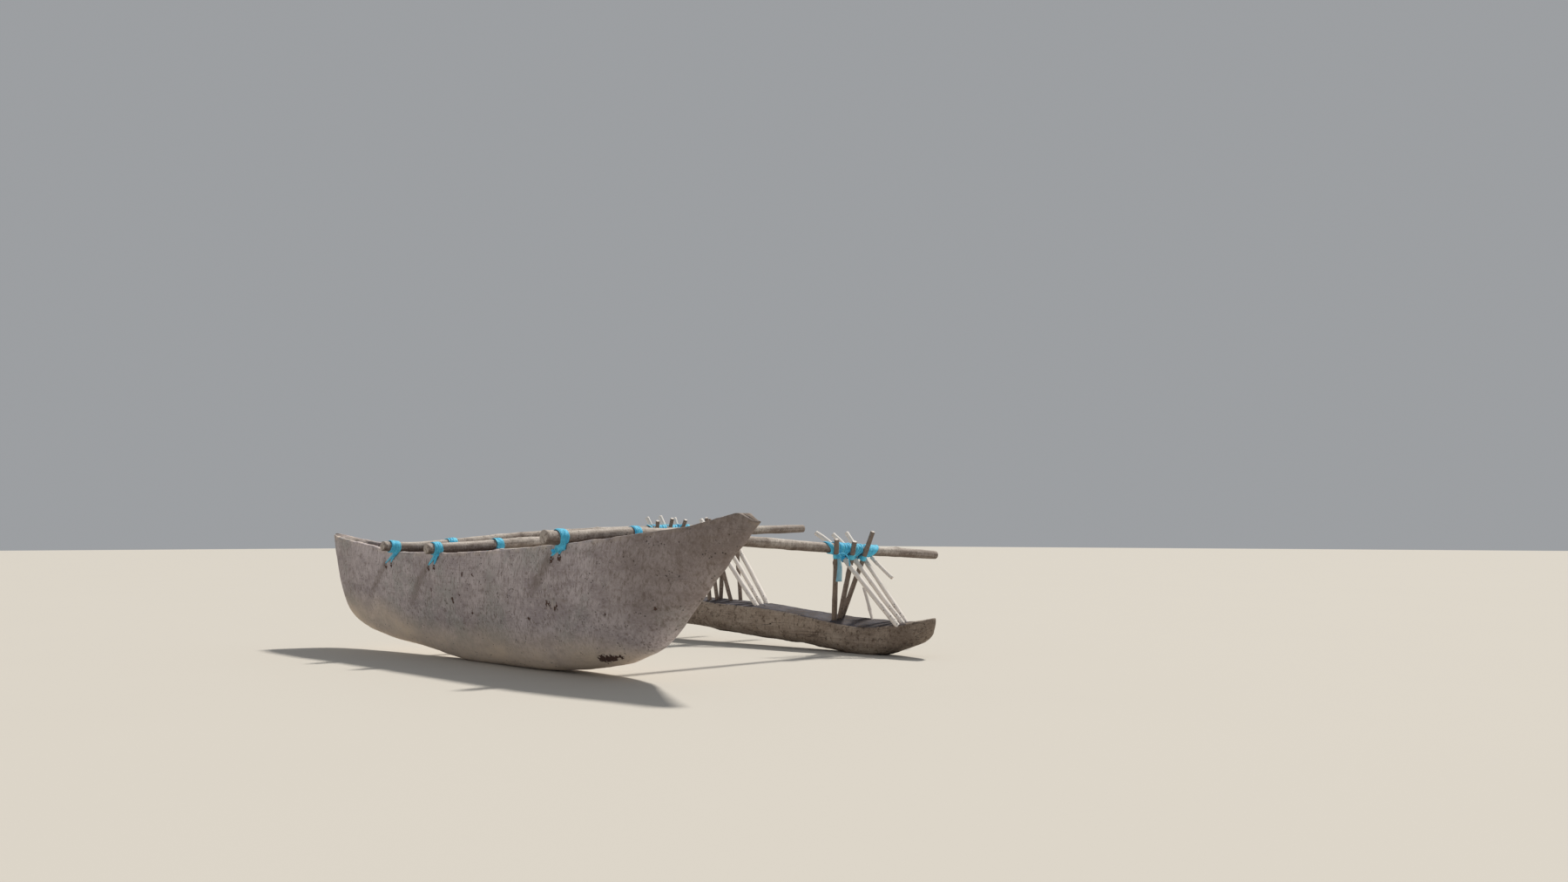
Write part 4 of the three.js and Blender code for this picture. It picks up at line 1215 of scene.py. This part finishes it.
def binding(strips, pole, y, lift, width, slant=0.0, wrapped=(), twist=0.0):
    """One turn round a pole and the sticks named with it."""
    centre, radius = pole.at(y)
    circles = [(centre[0], centre[2], radius + lift)]
    circles += [(s.touch[0], s.touch[2], s.radius + lift) for s in wrapped]
    rows = []
    for x, z, ux, uz in hull_of_circles(circles):
        shift = slant * (z - centre[2]) + twist * (x - centre[0])
        rows.append((np.array([x, y + shift, z]), np.array([ux, 0.0, uz])))
    laid(strips, rows, width, closed=True)


def collar(strips, stick, start, stop, turns, lift, width):
    """Turns of cloth round a stick, from start to stop along it from where it passes the pole."""
    _, sides, ups = cross_frames(stick.line[:2])
    rows = []
    for t in np.linspace(0, 1, int(turns * 12)):
        angle = turns * 2 * math.pi * t
        out = sides[0] * math.cos(angle) + ups[0] * math.sin(angle)
        centre = stick.touch + stick.way * (start + (stop - start) * t)
        rows.append((centre + out * (stick.radius + lift), out))
    laid(strips, rows, width)


# How the turns slant at the inner and the outer end of each stretch between two sticks.
LEAN_IN = (-0.75, 0.1, 0.45, 0.5, 0.5, 0.5)
LEAN_OUT = (-0.3, 0.2, 0.55, 1.1, 0.6, 0.9)
TURN_SPACING = 0.0105


def float_lashing(name):
    node, pole, c = f"float_lashing_{name}", POLES[name], settings("cloth")
    strips = Strips(f"{node}_cloth", hash_of(node))
    rng = strips.rng
    low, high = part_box(node)
    own = [s for s in STICKS if s.pole is pole]
    front = sorted((s for s in own if s.front), key=lambda s: s.touch[1])
    back = [s for s in own if not s.front]
    stops = [low.y + 0.012, *[s.touch[1] for s in front], high.y - 0.012]
    for block, (left, right) in enumerate(zip(stops[:-1], stops[1:])):
        start = left + (0.018 if left != stops[0] else 0)
        stop = right - (0.018 if right != stops[-1] else 0)
        count = max(2, int((stop - start) / TURN_SPACING))
        lean_in, lean_out = LEAN_IN[block], LEAN_OUT[block]
        for layer in range(2):
            for share in np.linspace(0, 1, count - layer):
                y = start + (stop - start) * share
                slant = lean_in + (lean_out - lean_in) * share + rng.uniform(-0.1, 0.1)
                y = float(np.clip(y, low.y + 0.012 + 0.036 * max(-slant, 0), high.y - 0.012 - 0.036 * slant))
                near = [s for s in back if abs(s.touch[1] - y) < s.radius + 0.006]
                binding(strips, pole, y + rng.uniform(-0.003, 0.003), 0.003 + 0.0024 * layer,
                        c.width * rng.uniform(0.8, 1.1), slant, near, rng.uniform(-0.15, 0.15))
    for stick in own:
        collar(strips, stick, -0.016, -0.040, 3, 0.003, c.width * 0.8)
        others = [s.touch[1] for s in own if s.front != stick.front]
        middle = (stick.touch[1] + min(others, key=lambda y: abs(y - stick.touch[1]))) / 2
        if not stick.front:
            for slants in ((0.5, 0.8), (-0.8, -0.5)):
                binding(strips, pole, float(middle), 0.007, c.width * 0.8, rng.uniform(*slants), [stick])
    first = front[0]
    place = first.touch + np.array([0.012, 0.006, -0.034])
    knot(strips, place, (1, -0.4, -0.2), 0.010, 0.008, [] if name == "bow" else
         [((0.3, 0.7, -0.8), 0.05), ((0.4, -0.6, -1.0), 0.04)])
    loop = [(0.014, -0.006, -0.026), (0.024, 0.016, -0.014), (0.030, 0.042, -0.020),
            (0.030, 0.066, -0.042), (0.024, 0.080, -0.068), (0.018, 0.086, -0.082)]
    laid(strips, [(first.touch + np.array(p), (1, -0.3, 0.5)) for p in loop], c.width * 0.55)
    return belongs(strips.made(), "cloth_strip", node)


def make_loose_end():
    """The doubled strip that hangs free from the bow lashing."""
    node, c = "lashing_tail_bow", settings("cloth")
    low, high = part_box(node)
    line = slices(node, 2, np.linspace(high.z - 0.006, low.z + 0.006, 24))[:, :3]
    first, last = line[0] + (line[0] - line[1]), line[-1] + (line[-1] - line[-2])
    line = np.concatenate([[first], line, [last]])
    line[0][2], line[-1][2] = high.z - 0.001, low.z + 0.001
    strips = Strips("loose_end_cloth", 77)
    share = np.linspace(0, 1, len(line))[:, None]
    for sign in (-1, 1, 0):
        offset = np.array([0.7, 0.7, 0]) * sign * (0.0035 + 0.007 * share)
        outs = np.array([0.7, -0.7, 0.15]) + np.sin(share * 7 + sign) * np.array([0.2, 0.2, 0])
        strips.ribbon(line + offset, outs, np.linspace(0.010, 0.0128, len(line)), c.thick, 0.0015)
    item = belongs(strips.made(strip_material("worn_cloth", "worn", "bleached")), "cloth_strip", node)
    tuple(line[0])


# The studio.

CAMERA_PLACE = (5.687, -3.782, 0.630)      # from the hull's middle, on the ground
CAMERA_YAW, CAMERA_PITCH = 134.807, 4.03   # degrees
FILM = 36.0
TO_LAMP = (-0.10, 0.57, 0.81)


def make_studio():
    s = settings("studio")
    finish = Finish("studio_floor", 0.95, 0.1)
    spot_ = finish.node("ShaderNodeTexCoord")["Object"]
    tone = finish.noise(spot_, 0.6, 3.0)
    floor_colour = tuple(s.floor)
    material = finish.finish(finish.mix(tone * 0.12, floor_colour, tuple(v * 0.86 for v in floor_colour)))
    reach = 60.0
    corners = [(-reach, -reach, 0), (reach, -reach, 0), (reach, reach, 0), (-reach, reach, 0)]
    floor = new_object("floor", corners, [(0, 1, 2, 3)], material)
    world = bpy.data.worlds.new("studio_light")
    world.use_nodes = True
    back = world.node_tree.nodes["Background"]
    back.inputs["Color"].default_value = (0.93, 0.96, 1.0, 1)
    back.inputs["Strength"].default_value = s.sky
    bpy.context.scene.world = world
    bpy.context.scene.view_settings.view_transform = "Standard"
    lamp = bpy.data.lights.new("high_lamp", "SUN")
    lamp.energy, lamp.angle, lamp.color = s.lamp, math.radians(6), (1.0, 0.955, 0.88)
    lamp_item = bpy.data.objects.new("high_lamp", lamp)
    lamp_item.rotation_euler = Vector(TO_LAMP).to_track_quat("Z", "Y").to_euler()
    bpy.context.scene.collection.objects.link(lamp_item)
    data = bpy.data.cameras.new("camera")
    data.sensor_width, data.lens = FILM, s.lens / MM
    data.clip_start, data.clip_end = 0.05, 300
    camera = bpy.data.objects.new("camera", data)
    camera.location = Vector(CAMERA_PLACE) + SHIFT
    camera.rotation_euler = (math.radians(90 + CAMERA_PITCH), 0, math.radians(CAMERA_YAW - 90))
    bpy.context.scene.collection.objects.link(camera)
    bpy.context.scene.camera = camera


# The add-on: one operator for each group of pieces.

class CANOE_OT_studio(bpy.types.Operator):
    """Sets the floor, the light and the camera"""

    bl_idname = "canoe.studio"
    bl_label = "Studio"

    def execute(self, context):
        make_studio()
        return {"FINISHED"}


class CANOE_OT_loose_end(bpy.types.Operator):
    """Hangs the loose end of the bow lashing"""

    bl_idname = "canoe.loose_end"
    bl_label = "Loose end"

    def execute(self, context):
        make_loose_end()
        return {"FINISHED"}


class CANOE_OT_hull(bpy.types.Operator):
    """Carves the dugout hull"""

    bl_idname = "canoe.hull"
    bl_label = "Hull"

    def execute(self, context):
        make_hull()
        return {"FINISHED"}


class CANOE_OT_poles(bpy.types.Operator):
    """Grows the three cross poles"""

    bl_idname = "canoe.poles"
    bl_label = "Cross poles"

    def execute(self, context):
        make_poles()
        return {"FINISHED"}


class CANOE_OT_float(bpy.types.Operator):
    """Carves the float log"""

    bl_idname = "canoe.float_log"
    bl_label = "Float log"

    def execute(self, context):
        make_float()
        return {"FINISHED"}


class CANOE_OT_sticks(bpy.types.Operator):
    """Grows the sticks that carry the float"""

    bl_idname = "canoe.sticks"
    bl_label = "Float sticks"

    def execute(self, context):
        make_sticks()
        return {"FINISHED"}


class CANOE_OT_gunwale_lashings(bpy.types.Operator):
    """Binds the poles to the gunwales"""

    bl_idname = "canoe.gunwale_lashings"
    bl_label = "Gunwale lashings"

    def execute(self, context):
        for name in BOOM_NAMES:
            for side_name in SIDES:
                gunwale_lashing(name, side_name)
        return {"FINISHED"}


class CANOE_OT_float_lashings(bpy.types.Operator):
    """Binds the sticks to the poles"""

    bl_idname = "canoe.float_lashings"
    bl_label = "Float lashings"

    def execute(self, context):
        for name in BOOM_NAMES:
            float_lashing(name)
        return {"FINISHED"}


OPERATORS = (CANOE_OT_studio, CANOE_OT_loose_end, CANOE_OT_hull, CANOE_OT_poles, CANOE_OT_float,
             CANOE_OT_sticks, CANOE_OT_gunwale_lashings, CANOE_OT_float_lashings)
GROUPS = {"wood": WoodSettings, "cloth": ClothSettings, "shape": ShapeSettings, "studio": StudioSettings}


class CANOE_PT_panel(bpy.types.Panel):
    """Settings and steps of the canoe"""

    bl_label = "Outrigger canoe"
    bl_idname = "CANOE_PT_panel"
    bl_space_type = "VIEW_3D"
    bl_region_type = "UI"
    bl_category = "Canoe"

    def draw(self, context):
        for name, group in GROUPS.items():
            box = self.layout.box()
            box.label(text=name.capitalize())
            for key in group.__annotations__:
                box.prop(settings(name), key)
        for operator in OPERATORS:
            self.layout.operator(operator.bl_idname)


def register():
    for item in (*GROUPS.values(), *OPERATORS, CANOE_PT_panel):
        bpy.utils.register_class(item)
    for name, group in GROUPS.items():
        setattr(bpy.types.Scene, f"canoe_{name}", bpy.props.PointerProperty(type=group))


def unregister():
    for name in GROUPS:
        delattr(bpy.types.Scene, f"canoe_{name}")
    for item in (CANOE_PT_panel, *OPERATORS, *GROUPS.values()):
        bpy.utils.unregister_class(item)


def main():
    register()
    for operator in OPERATORS:
        getattr(bpy.ops.canoe, operator.bl_idname.removeprefix("canoe."))()


if __name__ == "__main__":
    main()
